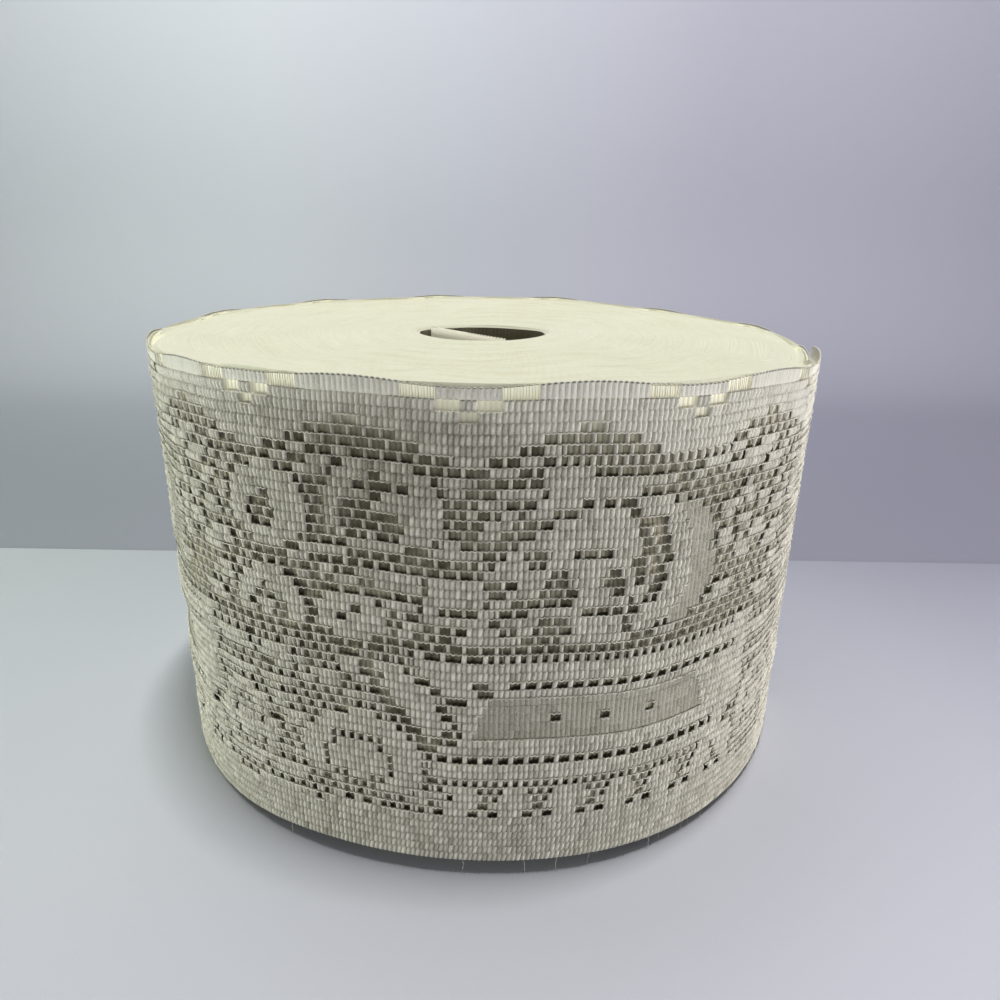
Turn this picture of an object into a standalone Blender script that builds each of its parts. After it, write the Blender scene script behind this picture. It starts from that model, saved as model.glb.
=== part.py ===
"""A roll of cream lace: one long four-inch band, wound on itself and standing on its end.

The turns make one wound solid with a hole through the middle, where the first turn was started.
The top selvage of the lace is scalloped, so the outermost turn stands up from the end face with a
wavy edge, and the turns below it make a swirled, gently uneven face. At the front the outer turns
have crept up the roll, so their lower edge hangs clear of the floor, and the rest stands flat.
The last part of the outermost turn has come loose at the right, and the first turn has sprung away
from the wall of the hole. Both are thin sheets of their own.

Sizes are in metres and Z is up. The front of the roll faces -Y. Angles are in degrees round the
roll's axis, from the front towards +X.
"""

import math

import bmesh
import bpy
from mathutils import Vector

# The band and the roll
LACE_WIDTH = 0.1016
ROLL_RADIUS = 0.0820
HOLE_RADIUS = 0.0158
HOLE_ASIDE = 0.0013  # the hole lies this far to the left of the roll's axis
HOLE_DROP = 0.0009  # the face sinks this much at the far side of the hole
HOLE_DROP_RUN = 0.3 * ROLL_RADIUS
HOLE_ROUNDING = 0.0010
AXIS = Vector((0.0007, -0.0003, 0.0))  # the roll's axis, when the whole thing is centred over the origin

# The scalloped top selvage
SCALLOPS = 12
FIRST_VALLEY = -1.0
SCALLOP_RISE = 0.00065  # from the mean line up to a peak

# The outermost turn
LIP_WIDTH = 0.0014
LIP_STAND = 0.0005  # it stands this much above the face beside it
LIP_FOOT = 0.0002  # the lip's inner side leans this much
GROOVE_WIDTH = 0.0011  # the groove between the outermost turn and the face
GROOVE_DEPTH = 0.0010

# The outer turns that have crept up at the front
CREEP = 0.0035
CREEP_FROM = 0.74  # share of the radius where the creeping turns begin
CREEP_LEFT = -54.0
CREEP_LEFT_RUN = 35.0
CREEP_RIGHT = 66.0
CREEP_RIGHT_RUN = 60.0

# The loose outer end
SHEET = 0.0010
GAP = 0.0003
ROOT_ANGLE = 57.5
END_ANGLE = 79.0
TURN_STEP = SHEET + GAP  # how much deeper the roll's wall lies below the loose end
STEP_RUN = 0.3  # degrees in which the wall steps down
STEP_SAG = 0.0009  # how much further it sinks behind the loose end
STEP_SAG_RUN = 15.0
STEP_SPREAD = 20.0  # degrees over which the blank's columns close up again
CLOSE_FROM = 0.48  # share of the radius where the columns begin to close up, so none is narrow at the hole
STEP_END = 118.0  # where the wall begins to rise again
STEP_BACK = 180.0  # where it has come back to the full radius
ROOT_CLEAR = 0.6  # degrees from the root to where the loose end's sheet begins
END_STAND = 0.0004  # how much further out the loose end's free edge stands than its root
END_CLEAR = 0.0005  # the loose end's lower edge hangs this far above the floor

# Where the top of the outermost turn leans out, at the loose end and at the left
FLARES = (
    {"middle": 66.0, "spread": 26.0, "out": 0.0004},
    {"middle": -70.0, "spread": 26.0, "out": 0.0008},
)
FLARE_HEIGHT = 0.022

# The loose inner end, angles round the hole's axis
INNER_START = -112.0
INNER_END = 22.0
INNER_RISE = 0.0040  # how far its arc stands out from its own chord at the top
INNER_RISE_LOW = 0.0068  # and at the floor, where it lies closer to the wall
INNER_PROUD = 0.0008
INNER_SLACK = 0.0001  # room for the hole's facets

# The uneven rim: how much higher or lower the turns stand than the lace is wide
RIM = (
    {"angle": -48.0, "height": 0.0015},
    {"angle": -34.0, "height": 0.0009},
    {"angle": -20.0, "height": -0.0005},
    {"angle": 18.0, "height": -0.0006},
    {"angle": 40.0, "height": 0.0002},
    {"angle": 58.0, "height": 0.0002},
    {"angle": 78.0, "height": -0.0010},
    {"angle": 130.0, "height": -0.0009},
    {"angle": 165.0, "height": 0.0004},
    {"angle": 205.0, "height": 0.0005},
    {"angle": 240.0, "height": 0.0008},
    {"angle": 275.0, "height": 0.0008},
)

# Soft waves of the wall, and the swirl of peaks on the end face
WALL_WAVES = (
    {"lobes": 3, "depth": 0.00035, "turned": 20.0, "lean": 0.7},
    {"lobes": 5, "depth": 0.00025, "turned": 75.0, "lean": -1.1},
    {"lobes": 8, "depth": 0.00015, "turned": 10.0, "lean": 1.6},
)
SWIRLS = (
    {"arms": 12, "height": 0.00055, "twist": 250.0, "from": 0.55, "to": 1.0},
    {"arms": 7, "height": 0.00045, "twist": -140.0, "from": 0.3, "to": 0.75},
    {"arms": 3, "height": 0.00050, "twist": 60.0, "from": 0.15, "to": 1.0},
)

# How finely the solids are divided
SEGMENTS = 144
FACE_SHARES = (0.34, 0.48, 0.62, 0.74, 0.84, 0.92)  # rings of the end face, as shares of the radius
WALL_LEVELS = (0.0, 0.02, 0.16, 0.34, 0.5, 0.66, 0.8, 0.9, 0.97)
UNDER_SHARES = (0.92, 0.82, 0.72)
SHEET_ROWS = 10
INNER_FACETS = 20
INNER_ROWS = 4
MERGE = 0.00005
SHARP_ANGLE = 40.0

# Colours and roughness of the yarn
WOUND_COLOUR, WOUND_ROUGHNESS = (0.80, 0.77, 0.62), 0.9
LOOSE_COLOUR, LOOSE_ROUGHNESS = (0.74, 0.72, 0.62), 0.85
INNER_COLOUR, INNER_ROUGHNESS = (0.72, 0.68, 0.50), 0.85


def clear_scene():
    for old in list(bpy.data.objects):
        bpy.data.objects.remove(old, do_unlink=True)


def collection_for(name):
    collection = bpy.data.collections.new(name)
    bpy.context.scene.collection.children.link(collection)
    return collection


def lace_material(name, colour, roughness):
    material = bpy.data.materials.new(name)
    material.use_nodes = True
    shader = material.node_tree.nodes["Principled BSDF"]
    shader.inputs["Base Color"].default_value = (*colour, 1.0)
    shader.inputs["Roughness"].default_value = roughness
    shader.inputs["Metallic"].default_value = 0.0
    return material


def smooth(share):
    """0 below 0 and 1 above 1, with an even curve between."""
    share = min(max(share, 0.0), 1.0)
    return share * share * (3.0 - 2.0 * share)


def between(angle):
    """The same angle, from -180 up to 180."""
    return (angle + 180.0) % 360.0 - 180.0


def bump(angle, middle, spread):
    """1 at the middle angle, falling evenly to 0 at the spread on either side."""
    away = abs(between(angle - middle)) / spread
    return 0.5 + 0.5 * math.cos(math.pi * min(away, 1.0))


def around(table, angle):
    """The height that a table gives at an angle, eased from each row to the next."""
    angles = [row["angle"] for row in table]
    turned = angles[0] + (angle - angles[0]) % 360.0
    for row, after in zip(table, (*table[1:], table[0])):
        span = (after["angle"] - row["angle"]) % 360.0
        share = (turned - row["angle"]) / span
        if 0.0 <= share <= 1.0:
            return row["height"] + (after["height"] - row["height"]) * smooth(share)
    return table[0]["height"]


def scallop(angle):
    """The wavy top selvage above or below its mean line."""
    return -SCALLOP_RISE * math.cos(math.radians(SCALLOPS * (angle - FIRST_VALLEY)))


def creep(angle):
    """How far the outermost turns have crept up off the floor."""
    left = smooth((angle - CREEP_LEFT) / CREEP_LEFT_RUN)
    right = smooth((CREEP_RIGHT - angle) / CREEP_RIGHT_RUN)
    return CREEP * left * right


def creeping(radius):
    """The part that a turn takes in the creep: none inside, all of it at the rim."""
    return smooth((radius / ROLL_RADIUS - CREEP_FROM) / (1.0 - CREEP_FROM))


def swirl(radius, angle):
    """The swirled peaks of the turns on the end face."""
    share = radius / ROLL_RADIUS
    total = 0.0
    for row in SWIRLS:
        middle = 0.5 * (row["from"] + row["to"])
        half = 0.5 * (row["to"] - row["from"])
        weight = smooth(1.0 - abs(share - middle) / half)
        turned = row["arms"] * angle + row["twist"] * share
        total += row["height"] * weight * math.sin(math.radians(turned))
    return total


def top_edge(angle):
    """Height of the outermost turn's scalloped selvage."""
    return LACE_WIDTH + scallop(angle) + creep(angle) + around(RIM, angle)


def face_height(radius, angle):
    """Height of the end face."""
    near_rim = creeping(radius)
    rise = near_rim * (creep(angle) + around(RIM, angle)) + swirl(radius, angle)
    at_hole = 1.0 - smooth((radius - HOLE_RADIUS) / HOLE_DROP_RUN)
    sink = HOLE_DROP * at_hole * smooth(-math.cos(math.radians(angle)))
    return LACE_WIDTH - LIP_STAND * near_rim + rise - sink


def step_depth(angle):
    """How deep the wall lies below the full radius, under the loose end and past it."""
    past = (angle - ROOT_ANGLE) % 360.0
    down = smooth(past / STEP_RUN)
    back = smooth((past - (STEP_END - ROOT_ANGLE)) / (STEP_BACK - STEP_END))
    return (TURN_STEP * down + STEP_SAG * smooth(past / STEP_SAG_RUN)) * (1.0 - back)


def soft_waves(angle, level):
    """The gentle unevenness of the wall. The level is 0 at the floor and 1 at the top."""
    total = 0.0
    for row in WALL_WAVES:
        turned = row["lobes"] * (angle - row["turned"]) + math.degrees(row["lean"] * level)
        total += row["depth"] * math.sin(math.radians(turned))
    return total


def flare(angle, level):
    """How far the top of the outermost turn leans out."""
    near_top = smooth(1.0 - (1.0 - level) * LACE_WIDTH / FLARE_HEIGHT)
    return near_top * sum(row["out"] * bump(angle, row["middle"], row["spread"]) for row in FLARES)


def wall_radius(angle, level):
    """Radius of the wound wall, where the outermost turn ends at the loose end's root."""
    under_end = ROOT_ANGLE < angle < FLARES[0]["middle"] + FLARES[0]["spread"]
    lean = 0.0 if under_end else flare(angle, level)
    return ROLL_RADIUS - step_depth(angle) + soft_waves(angle, level) + lean


def point_at(radius, angle, height, axis=AXIS):
    turned = math.radians(angle)
    return axis + Vector((radius * math.sin(turned), -radius * math.cos(turned), height))


def ring_profile():
    """Cross-section of the turned blank, as radius and height, from the hole's rim round and back."""
    face = LACE_WIDTH - LIP_STAND
    lip = ROLL_RADIUS - LIP_WIDTH
    outline = [(HOLE_RADIUS, face - HOLE_ROUNDING), (HOLE_RADIUS + HOLE_ROUNDING, face)]
    outline += [(share * ROLL_RADIUS, face) for share in FACE_SHARES]
    outline += [(lip - LIP_FOOT - GROOVE_WIDTH, face), (lip - LIP_FOOT, face - GROOVE_DEPTH)]
    outline += [(lip, LACE_WIDTH), (ROLL_RADIUS, LACE_WIDTH)]
    outline += [(ROLL_RADIUS, level * LACE_WIDTH) for level in reversed(WALL_LEVELS)]
    outline += [(lip, 0.0)]
    outline += [(share * ROLL_RADIUS, 0.0) for share in UNDER_SHARES]
    outline += [(HOLE_RADIUS + HOLE_ROUNDING, 0.0), (HOLE_RADIUS, HOLE_ROUNDING)]
    return outline


def turned_blank(name, outline, collection):
    """A closed outline turned round Z, as a mesh object."""
    mesh = bpy.data.meshes.new(name)
    edges = [(step, (step + 1) % len(outline)) for step in range(len(outline))]
    mesh.from_pydata([(radius, 0.0, height) for radius, height in outline], edges, [])
    profile = bpy.data.objects.new(name + "_profile", mesh)
    collection.objects.link(profile)
    screw = profile.modifiers.new("Turn", "SCREW")
    screw.axis = "Z"
    screw.steps = SEGMENTS
    screw.render_steps = SEGMENTS
    screw.use_merge_vertices = True
    screw.merge_threshold = MERGE
    bpy.context.view_layer.update()
    graph = bpy.context.evaluated_depsgraph_get()
    turned = bpy.data.meshes.new_from_object(profile.evaluated_get(graph))
    turned.name = name
    bpy.data.objects.remove(profile, do_unlink=True)
    blank = bpy.data.objects.new(name, turned)
    collection.objects.link(blank)
    return blank


def closed_up(angle, radius):
    """The blank's angle, with the columns past the root drawn back so that the wall steps down sharply."""
    column = 360.0 / SEGMENTS
    past = (angle - ROOT_ANGLE) % 360.0
    if past < 0.5 * column or past > STEP_SPREAD + column:
        return angle
    eased = 1.0 - (past - column) / STEP_SPREAD
    near_wall = smooth((radius / ROLL_RADIUS - CLOSE_FROM) / (1.0 - CLOSE_FROM))
    return angle - (column - STEP_RUN) * eased * near_wall


def wound_place(blank_point):
    """Where a point of the turned blank goes on the wound roll."""
    radius = math.hypot(blank_point.x, blank_point.y)
    angle = closed_up(math.degrees(math.atan2(blank_point.x, -blank_point.y)), radius)
    outermost = radius > ROLL_RADIUS - LIP_WIDTH - 0.5 * LIP_FOOT
    full = LACE_WIDTH if outermost else LACE_WIDTH - LIP_STAND
    level = blank_point.z / full
    floor = creep(angle) * creeping(radius)
    top = top_edge(angle) if outermost else face_height(radius, angle)
    height = floor + (top - floor) * level
    if outermost:
        radius += wall_radius(angle, level) - ROLL_RADIUS
    aside = HOLE_ASIDE * (1.0 - smooth((radius - HOLE_RADIUS) / (ROLL_RADIUS - HOLE_RADIUS)))
    return point_at(radius, angle, height) - Vector((aside, 0.0, 0.0))


def wound_roll(collection, material):
    """The turns as one solid, turned as a plain ring and then pressed into its uneven form."""
    roll = turned_blank("wound_roll", ring_profile(), collection)
    shape = bmesh.new()
    shape.from_mesh(roll.data)
    for corner in shape.verts:
        corner.co = wound_place(corner.co)
    bmesh.ops.recalc_face_normals(shape, faces=shape.faces)
    shape.to_mesh(roll.data)
    shape.free()
    roll.data.materials.append(material)
    roll.data.shade_smooth()
    roll.data.set_sharp_from_angle(angle=math.radians(SHARP_ANGLE))
    return roll


def bent_sheet(name, columns, rows, place, collection, material):
    """A flat grid whose points go where place(across, up) says, thickened outwards from there."""
    bpy.ops.mesh.primitive_grid_add(x_subdivisions=columns, y_subdivisions=rows, size=1.0)
    sheet = bpy.context.object
    sheet.name = name
    sheet.data.name = name
    for corner in sheet.data.vertices:
        corner.co = place(corner.co.x + 0.5, corner.co.y + 0.5)
    thicken = sheet.modifiers.new("Thickness", "SOLIDIFY")
    thicken.thickness = SHEET
    thicken.offset = 1.0
    for home in list(sheet.users_collection):
        home.objects.unlink(sheet)
    collection.objects.link(sheet)
    sheet.data.materials.append(material)
    sheet.data.shade_smooth()
    return sheet


def loose_end_place(across, up):
    """The loose end's inner face: from its root round to its free edge, and from floor to selvage."""
    start = ROOT_ANGLE + ROOT_CLEAR
    angle = start + (END_ANGLE - start) * across
    low = END_CLEAR + creep(angle)
    height = low + (top_edge(angle) - low) * up
    lean = flare(angle, up) + END_STAND * across
    return point_at(ROLL_RADIUS - SHEET + soft_waves(angle, up) + lean, angle, height)


def loose_end(collection, material):
    """The last part of the outermost turn, a little off the roll."""
    columns = round((END_ANGLE - ROOT_ANGLE) * SEGMENTS / 360.0)
    return bent_sheet("loose_end", columns, SHEET_ROWS, loose_end_place, collection, material)


def flatter_arc(start, end, rise, share):
    """A point on the arc from start to end that stands out from its chord, to its left, by the rise."""
    chord = end - start
    half = 0.5 * chord.length
    radius = (half * half + rise * rise) / (2.0 * rise)
    swing = math.asin(half / radius) * (2.0 * share - 1.0)
    along = chord.normalized()
    out = Vector((-along.y, along.x, 0.0))
    middle = 0.5 * (start + end) + (rise - radius) * out
    return middle + radius * (math.sin(swing) * along + math.cos(swing) * out)


def inner_end_place(across, up):
    """The inner end's face towards the wall of the hole: flatter than the wall, so it stands off it."""
    reach = HOLE_RADIUS - GAP - INNER_SLACK
    hole_axis = AXIS - Vector((HOLE_ASIDE, 0.0, 0.0))
    near = point_at(reach, INNER_END, 0.0, hole_axis)
    far = point_at(reach, INNER_START, 0.0, hole_axis)
    rise = INNER_RISE_LOW + (INNER_RISE - INNER_RISE_LOW) * up
    place = flatter_arc(near, far, rise, across)
    top = LACE_WIDTH + INNER_PROUD * math.sin(math.pi * across)
    place.z = END_CLEAR + (top - END_CLEAR) * up
    return place


def inner_end(collection, material):
    """The first turn of the winding, sprung away from the wall of the hole."""
    return bent_sheet("inner_end", INNER_FACETS, INNER_ROWS, inner_end_place, collection, material)


def main():
    clear_scene()
    parts = collection_for("roll_of_lace")
    wound_roll(parts, lace_material("wound_lace", WOUND_COLOUR, WOUND_ROUGHNESS))
    loose_end(parts, lace_material("loose_lace", LOOSE_COLOUR, LOOSE_ROUGHNESS))
    inner_end(parts, lace_material("inner_lace", INNER_COLOUR, INNER_ROUGHNESS))


main()
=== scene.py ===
# %% [markdown]
# # A roll of cream lace
#
# One long band of knitted lace, taken to be four inches wide, is wound on itself and stands on its end.
# The CAD part gives its plain solids. This lesson knits the lace itself, stitch by stitch, wraps it round
# the roll, winds the thin turns of the end face, and then lights everything like a small object on paper.

# %% Loading the frame
import math

import bpy
import numpy as np
from mathutils import Euler, Matrix, Vector


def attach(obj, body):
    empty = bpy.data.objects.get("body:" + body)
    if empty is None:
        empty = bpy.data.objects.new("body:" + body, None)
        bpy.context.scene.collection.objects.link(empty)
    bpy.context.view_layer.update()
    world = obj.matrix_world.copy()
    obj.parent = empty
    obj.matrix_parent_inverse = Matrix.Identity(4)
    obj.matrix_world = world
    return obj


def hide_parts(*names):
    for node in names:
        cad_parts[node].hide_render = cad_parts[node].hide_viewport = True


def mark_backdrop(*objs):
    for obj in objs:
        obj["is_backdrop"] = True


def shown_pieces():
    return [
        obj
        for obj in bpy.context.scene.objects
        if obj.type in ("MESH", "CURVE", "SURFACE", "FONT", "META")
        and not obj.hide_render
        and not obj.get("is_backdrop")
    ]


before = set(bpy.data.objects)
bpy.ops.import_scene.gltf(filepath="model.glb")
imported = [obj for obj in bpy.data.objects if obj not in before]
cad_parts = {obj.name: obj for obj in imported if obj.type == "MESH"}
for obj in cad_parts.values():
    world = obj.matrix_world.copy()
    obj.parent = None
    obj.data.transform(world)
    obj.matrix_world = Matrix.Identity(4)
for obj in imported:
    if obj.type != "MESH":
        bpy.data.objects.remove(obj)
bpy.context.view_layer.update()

print("CAD nodes:", sorted(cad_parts))

# %% [markdown]
# ## The camera
#
# The photograph was taken close to the roll and from a little above it, so the roll narrows strongly
# towards the floor. The lens, the height and the tilt were worked out from the round outline of the end
# face and from the rows of the lace. The picture is a little crooked, which the roll of the camera about
# its own line of sight repeats.

# %% Camera
AXIS = Vector((0.0007, -0.0003, 0.0))  # where the roll's axis stands, as in the part's source
CAMERA_AWAY = 0.2016
CAMERA_ASIDE = 0.0038
CAMERA_UP = 0.1302
CAMERA_DOWN = math.radians(20.81)
CAMERA_CROOKED = math.radians(0.73)
CAMERA_LENS = 27.0

bpy.ops.object.camera_add(location=AXIS + Vector((CAMERA_ASIDE, -CAMERA_AWAY, CAMERA_UP)))
camera = bpy.context.object
camera.name = "camera"
camera.data.lens = CAMERA_LENS
camera.data.sensor_width = 36.0
camera.data.clip_start = 0.01
tilt = Euler((0.5 * math.pi - CAMERA_DOWN, 0.0, 0.0)).to_matrix()
camera.rotation_euler = (tilt @ Matrix.Rotation(CAMERA_CROOKED, 3, "Z")).to_euler()
bpy.context.scene.camera = camera
bpy.context.scene.view_settings.view_transform = "Standard"  # keeps the cream of the yarn
print("camera at", [round(x, 4) for x in camera.location])

# %% [markdown]
# ## The sizes of the roll
#
# The lace has to lie exactly on the solids, so the same named sizes are used here as in the part's
# source: how wide the band is, how the scalloped edge waves, how the outer turns have crept up at the
# front, and how the loose end stands off at the right. Angles are in degrees round the roll's axis,
# from the front towards +X.

# %% Sizes of the roll
LACE_WIDTH = 0.1016
ROLL_RADIUS = 0.0820
HOLE_RADIUS = 0.0158
HOLE_ASIDE = 0.0013
HOLE_DROP = 0.0009
HOLE_DROP_RUN = 0.3 * ROLL_RADIUS
SCALLOPS = 12
FIRST_VALLEY = -1.0
SCALLOP_RISE = 0.00065
LIP_STAND = 0.0005
CREEP = 0.0035
CREEP_FROM = 0.74
CREEP_LEFT, CREEP_LEFT_RUN = -54.0, 35.0
CREEP_RIGHT, CREEP_RIGHT_RUN = 66.0, 60.0
SHEET = 0.0010
GAP = 0.0003
ROOT_ANGLE = 57.5
END_ANGLE = 79.0
TURN_STEP, STEP_RUN = SHEET + GAP, 0.3
STEP_SAG, STEP_SAG_RUN = 0.0009, 15.0
STEP_END, STEP_BACK = 118.0, 180.0
END_STAND = 0.0004
FLARES = (
    {"middle": 66.0, "spread": 26.0, "out": 0.0004},
    {"middle": -70.0, "spread": 26.0, "out": 0.0008},
)
FLARE_HEIGHT = 0.022
END_CLEAR = 0.0005
INNER_START, INNER_END = -112.0, 22.0
INNER_RISE, INNER_RISE_LOW = 0.0040, 0.0068
INNER_PROUD = 0.0008
INNER_SLACK = 0.0001
RIM = (  # angle, and how far the edge stands above or below an even one there
    (-48.0, 0.0015), (-34.0, 0.0009), (-20.0, -0.0005), (18.0, -0.0006), (40.0, 0.0002), (58.0, 0.0002),
    (78.0, -0.0010), (130.0, -0.0009), (165.0, 0.0004), (205.0, 0.0005), (240.0, 0.0008), (275.0, 0.0008),
)
WALL_WAVES = (
    {"lobes": 3, "depth": 0.00035, "turned": 20.0, "lean": 0.7},
    {"lobes": 5, "depth": 0.00025, "turned": 75.0, "lean": -1.1},
    {"lobes": 8, "depth": 0.00015, "turned": 10.0, "lean": 1.6},
)
SWIRLS = (
    {"arms": 12, "height": 0.00055, "twist": 250.0, "from": 0.55, "to": 1.0},
    {"arms": 7, "height": 0.00045, "twist": -140.0, "from": 0.3, "to": 0.75},
    {"arms": 3, "height": 0.00050, "twist": 60.0, "from": 0.15, "to": 1.0},
)
print("the band is", 1000.0 * LACE_WIDTH, "mm wide on a roll of", 2000.0 * ROLL_RADIUS, "mm")

# %% [markdown]
# ## Places on the roll
#
# Thousands of stitches have to be placed, so these functions take whole arrays of angles and heights
# at once. They give the same curves as the part's source, which is why the lace fits the solids
# without any fitting by eye.


# %% Curves round the roll
def smooth(share):
    """0 below 0 and 1 above 1, with an even curve between."""
    share = np.clip(share, 0.0, 1.0)
    return share * share * (3.0 - 2.0 * share)


def sine(degrees):
    return np.sin(np.radians(degrees))


def between(angle):
    """The same angle, from -180 up to 180."""
    return (angle + 180.0) % 360.0 - 180.0


def around(table, angle):
    """The height that a table gives at each angle, eased from each row to the next."""
    angles, heights = np.array(table).T
    turned = angles[0] + (angle - angles[0]) % 360.0
    here = np.searchsorted(angles, turned, side="right") - 1
    after = (here + 1) % len(table)
    span = (angles[after] - angles[here]) % 360.0
    share = smooth((turned - angles[here]) / span)
    return heights[here] + (heights[after] - heights[here]) * share


def scallop(angle):
    return -SCALLOP_RISE * sine(90.0 + SCALLOPS * (angle - FIRST_VALLEY))


def creep(angle):
    angle = between(angle)
    left = smooth((angle - CREEP_LEFT) / CREEP_LEFT_RUN)
    right = smooth((CREEP_RIGHT - angle) / CREEP_RIGHT_RUN)
    return CREEP * left * right


def creeping(radius):
    return smooth((radius / ROLL_RADIUS - CREEP_FROM) / (1.0 - CREEP_FROM))


def swirl(radius, angle):
    share = radius / ROLL_RADIUS
    total = 0.0
    for row in SWIRLS:
        middle = 0.5 * (row["from"] + row["to"])
        half = 0.5 * (row["to"] - row["from"])
        weight = smooth(1.0 - np.abs(share - middle) / half)
        total = total + row["height"] * weight * sine(row["arms"] * angle + row["twist"] * share)
    return total


def top_edge(angle):
    return LACE_WIDTH + scallop(angle) + creep(angle) + around(RIM, angle)


def face_height(radius, angle):
    near_rim = creeping(radius)
    rise = near_rim * (creep(angle) + around(RIM, angle)) + swirl(radius, angle)
    at_hole = 1.0 - smooth((radius - HOLE_RADIUS) / HOLE_DROP_RUN)
    sink = HOLE_DROP * at_hole * smooth(-np.cos(np.radians(angle)))
    return LACE_WIDTH - LIP_STAND * near_rim + rise - sink


def step_depth(angle):
    """How deep the wall lies under the loose end and past it."""
    past = (angle - ROOT_ANGLE) % 360.0
    down = TURN_STEP * smooth(past / STEP_RUN) + STEP_SAG * smooth(past / STEP_SAG_RUN)
    return down * (1.0 - smooth((past - (STEP_END - ROOT_ANGLE)) / (STEP_BACK - STEP_END)))


def soft_waves(angle, level):
    total = 0.0
    for row in WALL_WAVES:
        lean = np.degrees(row["lean"] * level)
        total = total + row["depth"] * sine(row["lobes"] * (angle - row["turned"]) + lean)
    return total


def flare(angle, level):
    """How far the top of the outermost turn leans out."""
    near_top = smooth(1.0 - (1.0 - level) * LACE_WIDTH / FLARE_HEIGHT)
    total = 0.0
    for row in FLARES:
        away = np.minimum(np.abs(between(angle - row["middle"])) / row["spread"], 1.0)
        total = total + row["out"] * (0.5 + 0.5 * np.cos(np.pi * away))
    return near_top * total


def point_at(radius, angle, height, axis=AXIS):
    """Points in space, one row each, for arrays of radius, angle and height."""
    turned = np.radians(angle)
    x, y = axis.x + radius * np.sin(turned), axis.y - radius * np.cos(turned)
    return np.stack(np.broadcast_arrays(x, y, height), axis=-1)


print("top edge in mm at the front:", round(float(1000.0 * top_edge(np.array(0.0))), 2))

# %% [markdown]
# ## Rows and ribs
#
# Lace like this is knitted sideways in ribs and rows, so a place on it is a column number along the
# band and a row number down from its scalloped edge. The photograph shows about one repeat of the
# pattern, and four to a turn is a guess that makes them meet. There are 504 ribs to a turn, 51 rows, and a
# selvage above them that is taller at each peak of the scallop. The outermost turn ends at the right,
# so its columns run from that cut end back round the roll until it lies under itself.

# %% The grid of the lace
RIBS = 504
ROWS = 51
REPEAT = 126
HALF_REPEAT = REPEAT // 2  # the chart's middle column faces the front
SCALLOP = 42
RIB_ANGLE = 360.0 / RIBS
RIB = math.radians(RIB_ANGLE) * ROLL_RADIUS
SELVAGE = 0.0026  # mean height of the selvage above the first row
SELVAGE_FOLLOWS = 0.3  # the part of the scallop that the first row follows
ROW = (LACE_WIDTH - SELVAGE) / ROWS
LACE_DEPTH = 0.00060  # how deep the backs of the stitches lie below the roll's wall
RIDGE_OUT = 0.00022
BULGE = 0.00030
BULGE_LEFT, BULGE_FROM, BULGE_RUN = 0.00050, -12.0, 32.0  # motifs stand out more towards the left
END_COLUMN = round(END_ANGLE / RIB_ANGLE)
ROOT_COLUMN = round(ROOT_ANGLE / RIB_ANGLE)
DOUBLED_ROWS, DOUBLED_HALF = (27.7, 38.5), 0.9  # two rows of doubled yarn stand out
BULGE_TOP, BULGE_GROWS = 2.0, 5.0  # the bulge starts at this row and is full so many rows further down
SWAY = 0.22
SWAY_WAVES = ((1.0, 101.0, 0.0), (0.6, 37.0, 140.0))  # share, length in ribs, and turn in degrees
print("one rib is", round(1000.0 * RIB, 3), "mm and one row", round(1000.0 * ROW, 3), "mm")


def relief(column, row):
    """The two rows of doubled yarn that stand out, and how far motifs bulge out of the net."""
    ridges = sum(np.exp(-(((row - middle) / DOUBLED_HALF) ** 2)) for middle in DOUBLED_ROWS)
    charted_column = ((np.floor(column) + HALF_REPEAT) % REPEAT).astype(int)
    square = np.clip(row, 0.0, ROWS - 1.0).astype(int), charted_column
    left = smooth((BULGE_FROM - between(column * RIB_ANGLE)) / BULGE_RUN)
    bulge = (BULGE + BULGE_LEFT * left) * bulk[square] * smooth((row - BULGE_TOP) / BULGE_GROWS)
    return RIDGE_OUT * ridges * (row > 0) + bulge


def sway(column, row):
    """How many rows the knitting has slipped up or down: no band of lace lies quite straight."""
    soft = sum(share * sine(360.0 * column / ribs + turned) for share, ribs, turned in SWAY_WAVES)
    return SWAY * soft * np.sin(np.pi * np.clip(row / ROWS, 0.0, 1.0))


def lace_height(column, row, low):
    angle = column * RIB_ANGLE
    first = LACE_WIDTH - SELVAGE + creep(angle) + around(RIM, angle)
    first = first + SELVAGE_FOLLOWS * scallop(angle)
    row = row + sway(column, row)
    below = low + (first - low) * (1.0 - row / ROWS)
    above = first - (top_edge(angle) - first) * row
    return np.where(row > 0.0, below, above)


def outer_radius(column, level):
    """Radius of the outermost turn, and of the loose end past its root column."""
    angle = column * RIB_ANGLE
    loose = column > ROOT_COLUMN
    past = (angle % 360.0 > ROOT_ANGLE) & (angle % 360.0 < FLARES[0]["middle"] + FLARES[0]["spread"])
    across = np.clip((angle - ROOT_ANGLE) / (END_ANGLE - ROOT_ANGLE), 0.0, 1.0)
    lean = np.where(past & ~loose, 0.0, flare(angle, level))
    stand = np.where(loose, END_STAND * across, -step_depth(angle))
    return ROLL_RADIUS + soft_waves(angle, level) + lean + stand


def outer_place(column, row, out):
    """Where a place on the outermost turn lies, out metres above the backs of its stitches."""
    angle = column * RIB_ANGLE
    low = creep(angle) + END_CLEAR * (column > ROOT_COLUMN)
    height = lace_height(column, row, low)
    level = (height - low) / (top_edge(angle) - low)
    radius = outer_radius(column, level) - LACE_DEPTH + relief(column, row) + out
    return point_at(radius, angle, height)


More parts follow.
